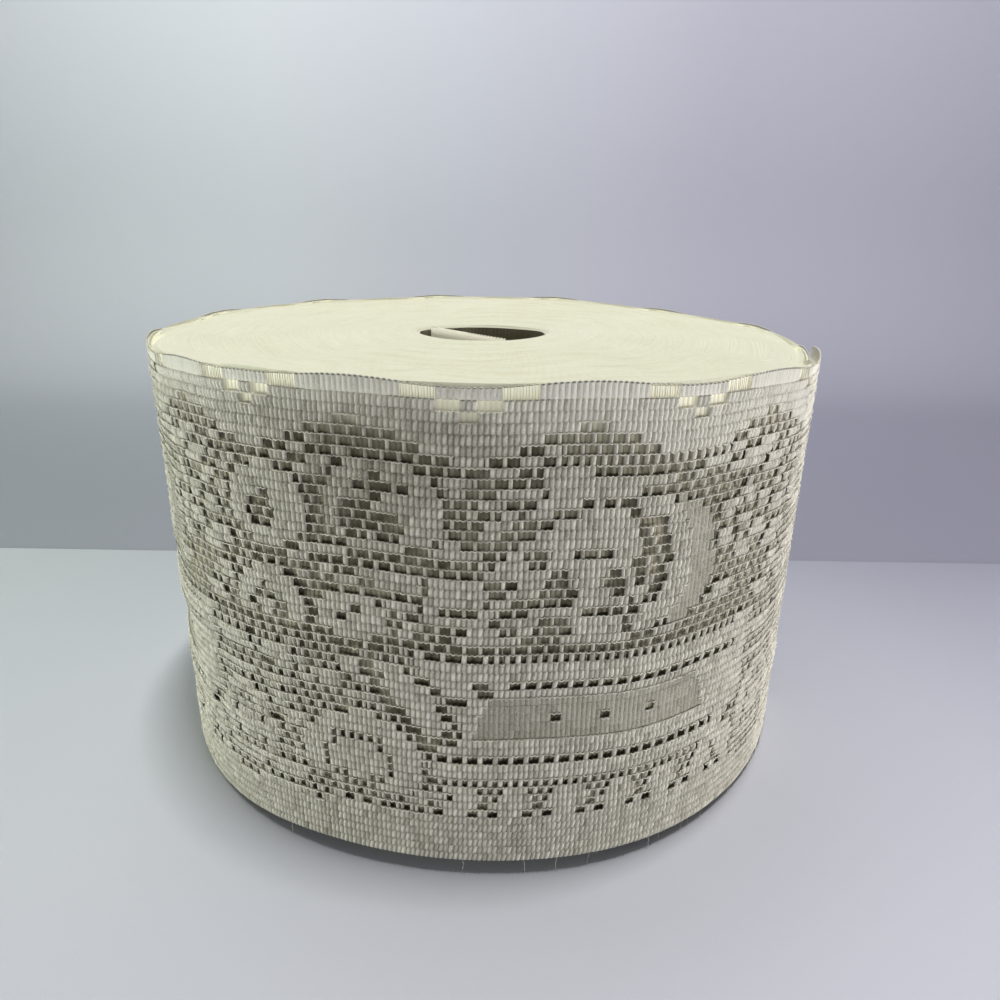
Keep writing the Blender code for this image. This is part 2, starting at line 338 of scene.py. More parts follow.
# %% [markdown]
# ## The chart
#
# A lace machine follows a chart with one square for each rib and row. Here the chart is drawn with a
# few kinds of strokes that any lace designer uses: ovals, pointed leaves, rows of eyelets, single holes
# and a scalloped border. Each square is filled, net, sheer, or open. Where each stroke lies and how large
# it is was judged from the photograph, and every motif gets a halo of net, which is what draws its
# outline on a real lace. The chart is repeated all round, also where the photograph shows nothing.

# %% Strokes of the chart
OPEN, NET, SHEER, FILLED = range(4)
MM_RIB, MM_ROW = 1000.0 * RIB, 1000.0 * ROW
UPPER_FROM, UPPER_FIELD, PLAIN_FROM = 7.5, 25, 45  # rows where the fields of the chart begin or end
LOWER_NET = -12.0  # the lower field is net to the left of this column
chart_column, chart_row = np.meshgrid(np.arange(REPEAT) + 0.5 - HALF_REPEAT, np.arange(ROWS) + 0.5)
chart = np.full(chart_column.shape, FILLED)


def aside(column):
    """How many ribs each square lies to the right of a column, within one repeat."""
    return (chart_column - column + 0.5 * REPEAT) % REPEAT - 0.5 * REPEAT


def oval(column, row, half_columns, half_rows):
    """The distance from an oval's middle: 1 on its edge."""
    return np.hypot(aside(column) / half_columns, (chart_row - row) / half_rows)


def leaf(column, row, length, width, lean):
    """A pointed leaf from its stalk, in mm, leaning so many degrees up from the band's direction."""
    x, y = aside(column) * MM_RIB, (row - chart_row) * MM_ROW
    along = x * np.cos(np.radians(lean)) + y * sine(lean)
    across = y * np.cos(np.radians(lean)) - x * sine(lean)
    share = np.clip(along / length, 0.0, 1.0)
    return (share > 0.0) & (share < 1.0) & (np.abs(across) < 0.5 * width * np.sin(np.pi * share) ** 0.7)


def paint(where, kind):
    chart[where] = kind


def motif(where):
    """A filled shape with a halo of net round it, two ribs and one row wide."""
    halo = where.copy()
    for step in (-2, -1, 1, 2):
        halo |= np.roll(where, step, axis=1)
    halo[1:] |= where[:-1]
    halo[:-1] |= where[1:]
    paint(halo & ~where, NET)
    paint(where, FILLED)


def eyelets(row, first, last, pitch, wide):
    """A row of small holes."""
    place = (chart_column - 0.5 - first) % pitch
    run = (chart_row == row + 0.5) & (chart_column > first) & (chart_column < last)
    paint(run, FILLED)
    paint(run & (place < wide), OPEN)


# %% Eyelets, holes, ovals and leaves from tables
def eyelet_rows(table):
    for row in table:
        eyelets(*row)


def holes(table):
    """Single holes: a row, and the columns where it starts and ends."""
    for row, first, last in table:
        paint((chart_row == row + 0.5) & (chart_column > first) & (chart_column < last), OPEN)


def ovals(table, kind):
    for row in table:
        paint(oval(*row) < 1.0, kind)


def leaves(table):
    for row in table:
        motif(leaf(*row))


# %% [markdown]
# The upper field comes first: the filled border, the net arcs that hang below each scallop, and then a
# net ground with leaves, two curls, an arch with an eyed flower under it, and a large spray with a stack
# of wide slots at its heart and a sheer crescent beside it.

# %% Net arcs and net ground
BORDER_ROW, BORDER_WAVE, BORDER_ASIDE, ARC_ROWS = 4.0, 1.6, 1.4, 3.0
FLECK_PITCH, FLECK_WIDE, FLECK_LEAN = 21.0, 7.0, 3.0
border = BORDER_ROW + BORDER_WAVE * np.cos(2.0 * np.pi * (chart_column + BORDER_ASIDE) / SCALLOP)
paint((chart_row > border) & (chart_row < border + ARC_ROWS), NET)
flecks = (chart_column + FLECK_LEAN * chart_row) % FLECK_PITCH < FLECK_WIDE
paint((chart_row > border + 1.0) & (chart_row < border + 2.0) & flecks, FILLED)
paint((chart_row > UPPER_FROM) & (chart_row < UPPER_FIELD), NET)

# %% Upper left: curls, arch and eyed flower
leaves((
    (-62.0, 9.0, 12.0, 5.0, -20.0), (-61.0, 13.0, 12.0, 5.0, -15.0), (-62.0, 17.5, 13.0, 5.0, 20.0),
    (-62.0, 21.5, 12.0, 5.0, 8.0), (-54.0, 8.0, 10.0, 4.6, -12.0), (-53.0, 14.5, 12.0, 5.0, 55.0),
    (-50.0, 15.6, 28.0, 3.8, 0.0), (-52.0, 20.0, 10.0, 4.6, 30.0), (-31.0, 17.8, 12.0, 4.4, -12.0),
    (-22.0, 17.4, 16.0, 4.8, -8.0), (-22.0, 20.6, 15.0, 4.8, -5.0), (-16.0, 23.4, 13.0, 4.0, 14.0),
    (-34.0, 23.8, 9.0, 4.2, 60.0), (-56.0, 11.0, 9.0, 4.0, 10.0), (-57.0, 19.6, 9.0, 4.0, -25.0),
    (-30.0, 20.4, 9.0, 3.8, 25.0), (-40.0, 20.0, 9.0, 3.8, -35.0), (-9.0, 17.6, 11.0, 3.6, -20.0),
    (-9.0, 20.4, 10.0, 4.0, 5.0), (-9.0, 8.6, 9.0, 3.8, 20.0), (-3.0, 11.4, 9.0, 3.8, 35.0),
    (-9.0, 13.8, 9.0, 3.4, -8.0), (-5.0, 23.2, 13.0, 4.0, -4.0),
))
ovals(((-8.5, 10.2, 4.4, 3.6), (-1.0, 19.8, 9.0, 3.2), (-36.0, 21.0, 5.0, 3.0)), FILLED)
ovals(((-2.0, 16.0, 5.5, 1.1), (-3.5, 20.6, 3.5, 0.7)), NET)
motif(oval(-41.0, 11.6, 9.5, 4.4) < 1.0)
paint(oval(-42.5, 12.4, 3.4, 1.6) < 1.0, NET)
motif(oval(-17.0, 10.6, 11.5, 4.9) < 1.0)
paint(oval(-22.0, 11.8, 3.6, 2.2) < 1.0, NET)
paint(oval(-16.5, 12.4, 3.6, 1.4) < 1.0, NET)
motif((oval(-42.5, 23.0, 9.0, 4.8) < 1.0) & (oval(-42.5, 23.6, 5.0, 2.6) > 1.0) & (chart_row < 24.0))
motif(oval(-43.5, 22.6, 2.2, 1.2) < 1.0)
motif(oval(-24.0, 22.4, 7.5, 2.4) < 1.0)
holes((
    (7, -19, -17), (8, -22, -20), (8, -19, -15), (8, -14, -12), (9, -19, -17), (10, -42, -40),
    (11, -45, -43), (11, -18, -16), (12, -41, -39), (12, -20, -18), (12, -15, -13), (14, -13, -11),
    (14, -11, -9), (15, -36, -34), (18, -37, -35),
    (19, -35, -33), (20, -34, -31), (21, -24, -22), (22, -27, -25), (23, -12, -10), (24, -39, -37),
))
eyelet_rows((
    (16, -27, -18, 3, 2), (17, -45, -36, 3, 2), (5, 12, 48, 2, 1), (19, -29, -18, 4, 3), (22, -10, -1, 3, 2),
))

# %% Upper right: the spray, its slots and the sheer crescent
leaves((
    (17.0, 8.4, 21.0, 5.2, 3.0), (0.0, 9.6, 9.0, 3.4, 12.0), (4.0, 8.4, 8.0, 3.4, -5.0),
    (10.0, 10.6, 10.0, 3.8, 22.0), (7.0, 13.0, 11.0, 3.8, 14.0), (0.0, 12.6, 8.0, 3.4, 30.0),
    (-1.0, 15.0, 9.0, 3.4, -15.0), (9.0, 15.4, 12.0, 3.8, 6.0), (10.0, 17.6, 11.0, 3.6, 30.0),
    (12.0, 20.0, 14.0, 4.2, 14.0), (1.0, 17.4, 13.0, 4.8, 36.0), (2.5, 19.4, 17.0, 4.6, 6.0),
    (3.5, 21.4, 17.0, 4.4, -8.0), (17.0, 21.8, 13.0, 4.4, 10.0), (19.0, 19.8, 10.0, 3.8, -6.0),
    (28.0, 22.6, 15.0, 4.6, 4.0), (46.0, 22.0, 10.0, 4.4, 25.0), (62.0, 22.0, 9.0, 4.0, -20.0),
    (60.0, 8.5, 9.0, 4.0, 10.0),
))
ovals(((18.0, 15.4, 11.0, 8.4), (30.0, 22.6, 12.0, 1.3)), FILLED)
ovals((
    (14.5, 18.3, 3.2, 2.0), (10.5, 14.8, 3.0, 0.8), (15.5, 10.6, 2.6, 0.9), (25.5, 17.4, 3.2, 1.4),
    (14.0, 22.4, 4.5, 1.1), (22.0, 20.4, 3.5, 0.8), (21.0, 14.6, 3.6, 0.7), (10.5, 11.4, 2.2, 0.8),
    (9.0, 19.6, 2.6, 0.8),
), NET)
crescent = (oval(31.0, 15.8, 10.5, 7.0) < 1.0) & (oval(30.0, 15.6, 6.6, 5.0) > 1.0) & (aside(29.0) > 0.0)
paint((oval(31.5, 15.0, 5.0, 5.0) < 1.0) & (chart_row > 10.0), FILLED)
motif(crescent)
paint((oval(36.5, 16.4, 12.0, 7.0) < 1.0) & (aside(36.5) > 0.0) & ~crescent, SHEER)
holes((
    (9, 18, 20), (9, 22, 24), (9, 25, 27), (11, 31, 35), (12, 29, 31), (12, 32, 35), (13, 30, 32),
    (13, 33, 36), (14, 30, 33), (14, 34, 36), (15, 28, 31), (15, 32, 34), (16, 29, 31), (16, 32, 35),
    (17, 24, 27), (17, 29, 31), (17, 33, 36), (18, 25, 27), (18, 32, 35), (12, 7, 10), (17, 1, 4),
    (18, 2, 5), (6, 0, 2), (20, 25, 27),
))
for petal in range(6):
    motif(leaf(56.0, 13.6, 9.5, 5.0, 30.0 + 60.0 * petal))
motif(oval(56.0, 13.6, 2.2, 1.1) < 1.0)
print("upper field drawn")

# %% [markdown]
# The lower field has a band of eyelets, a sheer panel with three slots, more eyelets, and a row of small
# teeth and diamonds. To its left a line of square holes steps down beside a broad leaf, and further left
# there are two rounded curls with leaves between them.

# %% Lower field of the chart
paint((chart_row > UPPER_FIELD) & (chart_row < PLAIN_FROM) & (chart_column < LOWER_NET), NET)
eyelet_rows((
    (25, 2, 58, 2, 1), (25, -29, -18, 4, 3), (25, -10, 1, 4, 3), (26, -50, -38, 3, 2),
    (28, 6, 58, 3, 2), (37, -11, 53, 3, 2), (40, -13, 50, 2, 1), (44, -60, -20, 4, 2),
))
panel = (chart_row > 30.0) & (chart_row < 35.5) & (chart_column > 0.8 * (33.0 - chart_row))
paint(panel & (chart_column < 46.0 + 0.7 * (chart_row - 30.0)), SHEER)
holes(tuple((32, slot - 1.5, slot + 1.5) for slot in (15.0, 25.0, 35.0)))
TEETH = 11.0
tooth = (chart_column + 1.0) % TEETH
toothed = (chart_column > -14.0) & (chart_column < 56.0)
even = np.floor(chart_column) % 2 == 0
paint((chart_row == 41.5) & toothed & (tooth < 6.0) & even, OPEN)
paint((chart_row == 42.5) & toothed & (np.abs(tooth - 3.0) < 2.0) & ~even, OPEN)
diamond = (chart_column - 1.0 + 0.5 * TEETH) % TEETH - 0.5 * TEETH
diamonds = (chart_column > -20.0) & (chart_column < 62.0)
paint((chart_row == 43.5) & diamonds & (np.abs(diamond) < 1.1), OPEN)
paint((chart_row == 44.5) & diamonds & (np.abs(np.abs(diamond) - 2.4) < 1.1), OPEN)

# %% Lower left: stepped holes, broad leaf and curls
leaves((
    (-62.0, 27.5, 14.0, 4.6, -10.0), (-48.0, 28.0, 14.0, 4.6, -8.0), (-61.0, 31.5, 13.0, 4.6, -5.0),
    (-48.0, 31.0, 14.0, 4.8, -20.0), (-38.0, 28.6, 13.0, 4.6, -30.0), (-46.0, 34.4, 14.0, 4.6, 10.0),
    (-36.0, 33.4, 14.0, 4.6, -25.0), (-34.0, 29.4, 12.0, 4.6, -12.0), (-44.0, 44.0, 15.0, 4.4, 60.0),
    (-39.0, 44.6, 16.0, 4.2, 55.0), (-34.5, 44.8, 13.0, 4.0, 50.0), (-20.0, 26.6, 23.0, 9.0, -48.0),
    (-19.0, 43.4, 12.0, 4.4, 8.0), (-33.0, 37.0, 9.0, 4.0, 75.0), (-48.0, 43.4, 14.0, 4.2, 8.0),
    (-43.0, 37.6, 9.0, 4.2, 40.0), (-40.0, 41.0, 9.0, 3.8, 50.0), (-60.0, 34.6, 12.0, 4.4, 12.0),
    (-27.0, 31.4, 9.0, 4.4, -15.0), (-28.0, 27.6, 9.0, 4.0, -20.0), (-62.0, 43.6, 12.0, 4.2, -4.0),
))
motif(oval(-53.5, 38.6, 9.5, 5.6) < 1.0)
ring = (oval(-53.5, 39.0, 6.6, 4.0) < 1.0) & (oval(-53.5, 39.0, 4.2, 2.4) > 1.0)
paint(ring & (np.floor(chart_column) % 3 > 0), NET)
arch = oval(-24.0, 39.0, 13.0, 5.8)
motif((arch < 1.0) & (chart_row < 43.0))
curl = oval(-24.5, 39.4, 8.0, 3.8)
paint((curl < 1.0) & even, OPEN)
paint(oval(-24.5, 39.4, 5.8, 2.3) < 1.0, FILLED)
for step in range(9):
    paint((chart_row == 28.5 + step) & (np.abs(aside(-21.5 + 1.5 * step)) < 1.2), OPEN)
holes((
    (26, -26, -24), (27, -22, -20), (29, -46, -43), (33, -29, -26), (36, -46, -42), (28, -12, -10),
    (29, -9, -7), (29, 0, 3), (30, -6, -2), (31, -8, -6), (32, -7, -5), (34, -7, -5), (35, -9, -7),
    (35, -6, -4), (28, -1, 2), (42, -33, -31), (38, 57, 60), (37, 59, 61),
))
paint(chart_row > PLAIN_FROM + 0.5, FILLED)

# The selvage's V of three eyelets under each valley of the scalloped edge
VALLEY = FIRST_VALLEY / RIB_ANGLE
from_valley = (chart_column - VALLEY + 0.5 * SCALLOP) % SCALLOP - 0.5 * SCALLOP
paint((chart_row == 0.5) & (np.abs(np.abs(from_valley) - 3.6) < 2.1), OPEN)
paint((chart_row == 1.5) & (np.abs(from_valley) < 1.6), OPEN)
print("squares of each kind:", {kind: int((chart == kind).sum()) for kind in range(4)})


# How full the chart is round each square, which is how far the knitting bulges there
full = (chart == FILLED) * 1.0
bulk = sum(np.roll(full, step, axis=1) for step in range(-2, 3)) / 5.0
padded = np.pad(bulk, ((1, 1), (0, 0)), mode="edge")
bulk = (padded[:-2] + padded[1:-1] + padded[2:]) / 3.0


def charted(column, row):
    """The kind of stitch at whole columns and rows, all round the roll."""
    return chart[np.clip(row, 0, ROWS - 1), (column + HALF_REPEAT) % REPEAT]


# %% [markdown]
# ## Writing materials as sums
#
# A shader is a net of small boxes. To keep the recipes readable, one small class wraps a socket, so
# that sums and products of sockets write their own Math boxes, and one method adds any other box from
# its kind, its settings and what goes into its sockets.


# %% A socket that can be added and multiplied
class Wire:
    def __init__(self, recipe, socket):
        self.recipe = recipe
        self.socket = socket

    def maths(self, operation, first, second=0.0):
        return self.recipe.box("ShaderNodeMath", {"operation": operation}, {0: first, 1: second})

    def __add__(self, other):
        return self.maths("ADD", self, other)

    def __sub__(self, other):
        return self.maths("SUBTRACT", self, other)

    def __rsub__(self, other):
        return self.maths("SUBTRACT", other, self)

    def __mul__(self, other):
        return self.maths("MULTIPLY", self, other)

    __radd__ = __add__
    __rmul__ = __mul__

    def sine(self):
        return self.maths("SINE", self)

    def size(self):
        return self.maths("ABSOLUTE", self)

    def between(self, low, high):
        return self.maths("MINIMUM", self.maths("MAXIMUM", self, low), high)


class Recipe:
    def __init__(self, name, roughness, sheen=0.0):
        self.material = bpy.data.materials.new(name)
        self.material.use_nodes = True
        self.tree = self.material.node_tree
        self.shader = self.tree.nodes["Principled BSDF"]
        self.shader.inputs["Roughness"].default_value = roughness
        self.shader.inputs["Sheen Weight"].default_value = sheen
        self.shader.inputs["Specular IOR Level"].default_value = 0.25

    def box(self, kind, settings=None, sockets=None, out=0):
        made = self.tree.nodes.new(kind)
        for field, value in (settings or {}).items():
            setattr(made, field, value)
        for place, value in (sockets or {}).items():
            if isinstance(value, Wire):
                self.tree.links.new(value.socket, made.inputs[place])
            else:
                made.inputs[place].default_value = value
        return Wire(self, made.outputs[out])

    def mix(self, factor, first, second):
        return self.box("ShaderNodeMix", {"data_type": "RGBA"}, {0: factor, 6: first, 7: second}, 2)

    def along(self, name):
        """The two numbers of the piece's own flat map."""
        flat = self.box("ShaderNodeUVMap", {"uv_map": name})
        return [self.box("ShaderNodeSeparateXYZ", None, {0: flat}, out) for out in (0, 1)]

    def vector(self, x, y, z=0.0):
        return self.box("ShaderNodeCombineXYZ", None, {0: x, 1: y, 2: z})

    def noise(self, vector, scale, detail=2.0):
        return self.box("ShaderNodeTexNoise", None, {"Vector": vector, "Scale": scale, "Detail": detail})

    def place(self):
        return self.box("ShaderNodeTexCoord", None, None, 3)

    def attribute(self, name):
        return self.box("ShaderNodeAttribute", {"attribute_name": name}, None, 2)

    def colour(self, wire):
        self.tree.links.new(wire.socket, self.shader.inputs["Base Color"])

    def bump(self, height, strength, distance):
        sockets = {"Strength": strength, "Distance": distance, "Height": height}
        made = self.box("ShaderNodeBump", None, sockets)
        self.tree.links.new(made.socket, self.shader.inputs["Normal"])


# %% [markdown]
# ## The yarn
#
# The yarn is a soft, slightly hairy cream thread. Its colour drifts a little from stitch to stitch, and
# fine filaments run along each bundle. The filaments are a stretched noise read from the flat map of
# the lace, so they follow each rib round the roll. The colour also holds painted light and shade: a lit
# and a shaded copy of the cream are mixed by a tone that carries painted shade, the top rows are painted
# lighter as if light fell through them, dotted lines of painted shadow run along the selvage, and some
# yarns get a glow of painted light.

# %% Yarn material
# Painted shade: the colour after the yarn's own is the cream in shade, mixed in where the tone is low, in
# painted grooves and patches and at random.
YARN = (0.80, 0.775, 0.67, 1.0)
YARN_SHADE = (0.25, 0.235, 0.175, 1.0)
# Painted light: the top rows are painted lighter, as if light fell through them, reaching further down
# towards the right.
LIT_YARN = (0.82, 0.80, 0.70, 1.0)
LIT_ROWS = 2.5  # the light that falls through the top rows reaches this far down
LIT_GROWS, LIT_MOST = 0.14, 6.0  # and further down, by so many rows a rib, towards the right
# Painted shadow: dotted dark lines along the selvage's top edge, and along its first row under each valley,
# stand for the shade in the gaps between its loops.
GAP_SHADOW_COLOUR = (0.05, 0.045, 0.03, 1.0)
SHADOW_LINE_FINE = 12.0  # one over the width, in rows, of the dotted lines along the selvage
EDGE_ROW = 0.95
FILAMENTS, FUZZ, DRIFT, TONE_DROP = 0.35, 0.65, 0.12, 0.48  # what each does to the yarn's tone
LIT_PART = 0.75
VALLEY_TURN = 0.5 * math.pi - 2.0 * math.pi * VALLEY / SCALLOP


# A yarn is coloured between a lit and a shaded copy of its cream, which paints light and shade; the glow is
# painted light for thin yarn that light comes through.
def yarn(name, light=YARN, shade=YARN_SHADE, glow=0.0):
    recipe = Recipe(name, 0.95, 0.15)
    recipe.shader.inputs["Emission Color"].default_value = light
    recipe.shader.inputs["Emission Strength"].default_value = glow
    column, row = recipe.along("lace")
    filaments = recipe.noise(recipe.vector(column * 7.0, row * 2.2), 1.0, 4.0)
    fuzz = recipe.noise(recipe.place(), 2900.0, 3.0)
    drift = recipe.noise(recipe.vector(column * 0.05, row * 0.11), 1.0, 2.0)
    tone_and_shade = recipe.attribute("tone_and_shade") + filaments * FILAMENTS + fuzz * FUZZ + drift * DRIFT - TONE_DROP
    reach = (column * LIT_GROWS).between(0.0, LIT_MOST) + LIT_ROWS
    lit = ((reach - row) * (1.0 / LIT_ROWS)).between(0.0, 1.0) * (tone_and_shade * 0.6 + 0.4).between(0.0, 1.0)
    knitted = recipe.mix(lit * LIT_PART, recipe.mix(tone_and_shade.between(0.0, 1.0), shade, light), LIT_YARN)
    # Painted shadow: dark dots on each rib along these two lines.
    dots = (column * math.pi).sine().size()
    valley = (column * (2.0 * math.pi / SCALLOP) + VALLEY_TURN).sine()
    shadow_line = (1.0 - row.size() * SHADOW_LINE_FINE).between(0.0, 1.0) * ((valley + 0.5) * 6.0).between(0.0, 1.0)
    edge = (1.0 - (row + EDGE_ROW).size() * SHADOW_LINE_FINE).between(0.0, 1.0)
    painted_shade_dots = (shadow_line + edge).between(0.0, 1.0) * (dots * 1.5 - 0.35).between(0.0, 1.0)
    recipe.colour(recipe.mix(painted_shade_dots, knitted, GAP_SHADOW_COLOUR))
    recipe.bump(filaments * 0.5 + fuzz, 0.8, 0.00022)
    return recipe.material


lace_yarn = yarn("lace_yarn")
print("material", lace_yarn.name)

# %% [markdown]
# ## One stitch of each kind
#
# Each kind of stitch is modelled once, a thousand times larger than it is, so that one unit is one
# millimetre. A filled stitch is a grid whose middle is drawn up into a little bolster, widest near its
# top and pinched at its foot. A net square holds a narrower copy of it or nothing: one square in three has
# one in the upper field, two in three have one in the lower. A sheer square holds a flattened copy. A
# chain is a short hanging arc of thread across one rib, and the ladders of the selvage are pairs of bare
# threads. They have only a few faces each, because the roll needs thousands.


# %% Tools for shaping a stitch
def begin():
    bpy.ops.object.select_all(action="DESELECT")


def on_whole_mesh(*steps):
    """Runs edit-mode operators on all of the active mesh, and leaves nothing selected."""
    bpy.ops.object.mode_set(mode="EDIT")
    bpy.ops.mesh.select_all(action="SELECT")
    for operator, how in steps:
        operator(**how)
    bpy.ops.mesh.select_all(action="DESELECT")
    bpy.ops.object.mode_set(mode="OBJECT")


def shape(piece, test, operator, **how):
    """Selects only the points that pass the test and runs one edit-mode operator on them."""
    on_whole_mesh()
    for point in piece.data.vertices:
        point.select = bool(test(point.co))
    bpy.context.tool_settings.mesh_select_mode = (True, False, False)
    bpy.ops.object.mode_set(mode="EDIT")
    operator(**how)
    bpy.ops.object.mode_set(mode="OBJECT")


def as_arrays(piece):
    """The stitch's points, in ribs across, rows up and metres out, and its faces. The model goes."""
    points = np.array([tuple(point.co) for point in piece.data.vertices])
    faces = [tuple(face.vertices) for face in piece.data.polygons]
    bpy.data.objects.remove(piece, do_unlink=True)
    return points / (MM_RIB, MM_ROW, 1000.0), faces


# %% The filled stitch
PROFILE = (  # from and to in mm up the stitch, how high its middle is drawn up there, and how wide
    (0.8, 1.2, 0.20, 0.75),
    (0.3, 0.8, 0.50, 1.0),
    (-0.3, 0.3, 0.46, 0.9),
    (-0.8, -0.3, 0.34, 0.75),
    (-1.2, -0.8, 0.16, 0.65),
)
BETWEEN_RIBS = 0.04  # how high the yarn stands between two ribs of one row


def filled_stitch():
    begin()
    bpy.ops.mesh.primitive_grid_add(x_subdivisions=3, y_subdivisions=4, size=1.0)
    puff = bpy.context.object
    resize, move = bpy.ops.transform.resize, bpy.ops.transform.translate
    shape(puff, lambda p: True, resize, value=(1.0 * MM_RIB, 1.03 * MM_ROW, 1.0))
    shape(puff, lambda p: abs(p.x) < 0.3, resize, value=(1.25, 1.0, 1.0))
    for low, high, lift, wide in PROFILE:
        shape(puff, lambda p: abs(p.x) < 0.4 and low < p.y < high, move, value=(0.0, 0.0, lift))
        shape(puff, lambda p: abs(p.x) < 0.4 and low < p.y < high, resize, value=(wide, 1.0, 1.0))
    shape(puff, lambda p: abs(p.x) > 0.4 and abs(p.y) < 0.8, move, value=(0.0, 0.0, BETWEEN_RIBS))
    return as_arrays(puff)


puff_stitch = filled_stitch()
flat_stitch = (puff_stitch[0] * (1.0, 1.0, 0.45), puff_stitch[1])  # for sheer squares and the smooth selvage
post_stitch = (puff_stitch[0] * (0.75, 1.12, 0.9), puff_stitch[1])  # the thread bundle of a net square
print("filled stitch:", len(puff_stitch[1]), "faces")


# %% Threads and chains
SHEER_RADIUS, CHAIN_RADIUS, HAIR_RADIUS, HAIR_LONG = 0.07, 0.14, 0.035, 3.6  # in mm


def ring_strand(radius, length, segments, lying):
    """A three-sided tube of several segments, made by extruding its end ring."""
    begin()
    turn = (0.0, 0.5 * math.pi, 0.0) if lying else (0.5 * math.pi, 0.0, 0.0)
    bpy.ops.mesh.primitive_circle_add(vertices=3, radius=radius, fill_type="NOTHING", rotation=turn)
    strand = bpy.context.object
    bpy.ops.object.transform_apply(location=False, rotation=True, scale=False)
    step = length / segments
    way = Vector((step, 0.0, 0.0)) if lying else Vector((0.0, step, 0.0))
    bpy.ops.object.mode_set(mode="EDIT")
    bpy.ops.mesh.select_all(action="SELECT")
    bpy.ops.transform.translate(value=-0.5 * length * way.normalized())
    for segment in range(segments):
        bpy.ops.mesh.extrude_region_move(TRANSFORM_OT_translate={"value": way})
    bpy.ops.mesh.select_all(action="SELECT")
    bpy.ops.mesh.normals_make_consistent(inside=False)
    bpy.ops.mesh.select_all(action="DESELECT")
    bpy.ops.object.mode_set(mode="OBJECT")
    return strand


def sheer_thread(across):
    strand = ring_strand(SHEER_RADIUS, 1.04 * MM_ROW, 1, False)
    shape(strand, lambda p: True, bpy.ops.transform.translate, value=(across, 0.0, 0.34))
    return as_arrays(strand)


def chain_link():
    strand = ring_strand(CHAIN_RADIUS, MM_RIB, 2, True)
    shape(strand, lambda p: True, bpy.ops.transform.translate, value=(0.0, 0.10, 0.42))
    shape(strand, lambda p: abs(p.x) < 0.3, bpy.ops.transform.translate, value=(0.0, -0.17, 0.14))
    return as_arrays(strand)


def stray_hair(bow):
    """A broken filament that stands off the yarn and hangs down, bowed to one side."""
    strand = ring_strand(HAIR_RADIUS, HAIR_LONG, 5, False)
    for level in (-1.8, -1.08, -0.36, 0.36, 1.08, 1.8):
        down = (1.8 - level) / HAIR_LONG
        sideways = (bow * math.sin(2.4 * down), -1.4, 0.3 + 1.1 * down * (1.3 - down))
        shape(strand, lambda p: abs(p.y - level) < 0.02, bpy.ops.transform.translate, value=sideways)
    return as_arrays(strand)


def selvage_loop():
    begin()
    bpy.ops.mesh.primitive_ico_sphere_add(subdivisions=1, radius=0.5)
    loop = bpy.context.object
    shape(loop, lambda p: True, bpy.ops.transform.resize, value=(0.7, 0.22, 0.4))
    shape(loop, lambda p: True, bpy.ops.transform.translate, value=(0.0, 0.0, 0.28))
    return as_arrays(loop)


sheer_pair = [sheer_thread(0.26), sheer_thread(-0.26)]
chain = chain_link()
loop_stitch = selvage_loop()
hairs = [stray_hair(bow) for bow in (0.9, -0.7, 0.3)]
print("sheer, chain and loop faces:", [len(s[1]) for s in (sheer_pair[0], chain, loop_stitch)])

# %% [markdown]
# ## Knitting
#
# Copies of a stitch are placed on the flat grid of ribs and rows as one array, each a little different
# in height and lean, as knitting is. Only then is every point carried to its place on the roll. All the
# copies become one joined mesh, with the flat place kept as a map for the materials.

# %% Knitting and joining
dice = np.random.default_rng(11)
# Painted shade: the groove between two stitches is painted darker than their crests.
GROOVE = 0.38  # how light the groove between two stitches is, next to their crests
# Painted shade: a soft patch at the upper left is painted darker, on the stitches and on the turn beneath.
SHADE_PATCH_AT, SHADE_PATCH_HALF, SHADE_PATCH_DEPTH = (-20.0, 7.0), (19.0, 7.0), 0.72
SHADE_PATCH_ON_STITCHES = 0.5  # the part of that shade that falls on the stitches themselves


def painted_shade_patch(column, row):
    """How far a place lies in the patch at the upper left where the yarn is painted in deeper shade."""
    across = (between((column - SHADE_PATCH_AT[0]) * RIB_ANGLE) / RIB_ANGLE) / SHADE_PATCH_HALF[0]
    return np.exp(-(across**2) - ((row - SHADE_PATCH_AT[1]) / SHADE_PATCH_HALF[1]) ** 2)


def knit(stitch, columns, rows, out=0.0, uneven=0.12, taller=1.0, shaded=False, light=0.62, leaning=0.0):
    """Copies of a stitch at these columns and rows, as points, faces and lightness with painted shade."""
    points, faces = stitch
    count = len(columns)
    puffed = dice.normal(1.0, uneven, (count, 1))
    lean = dice.normal(leaning, 0.05, (count, 1))
    column = columns[:, None] + points[:, 0] + lean * points[:, 1]
    row = rows[:, None] - points[:, 1] * taller
    height = points[:, 2] * puffed + out
    own = np.clip(dice.normal(light, 0.25 * light, (count, 1)), 0.0, 1.0)
    # Painted shade: stitches in the patch at the upper left are painted darker.
    own = own - SHADE_PATCH_ON_STITCHES * SHADE_PATCH_DEPTH * painted_shade_patch(columns[:, None], rows[:, None])
    crest = points[:, 2] / max(points[:, 2].max(), 1e-6) if shaded else np.ones(len(points))
    tone_and_shade = (own * (GROOVE + (1.0 - GROOVE) * crest)).ravel()
    flat = np.stack([column, row, np.broadcast_to(height, column.shape)], axis=-1).reshape(-1, 3)
    return flat, faces, tone_and_shade, count


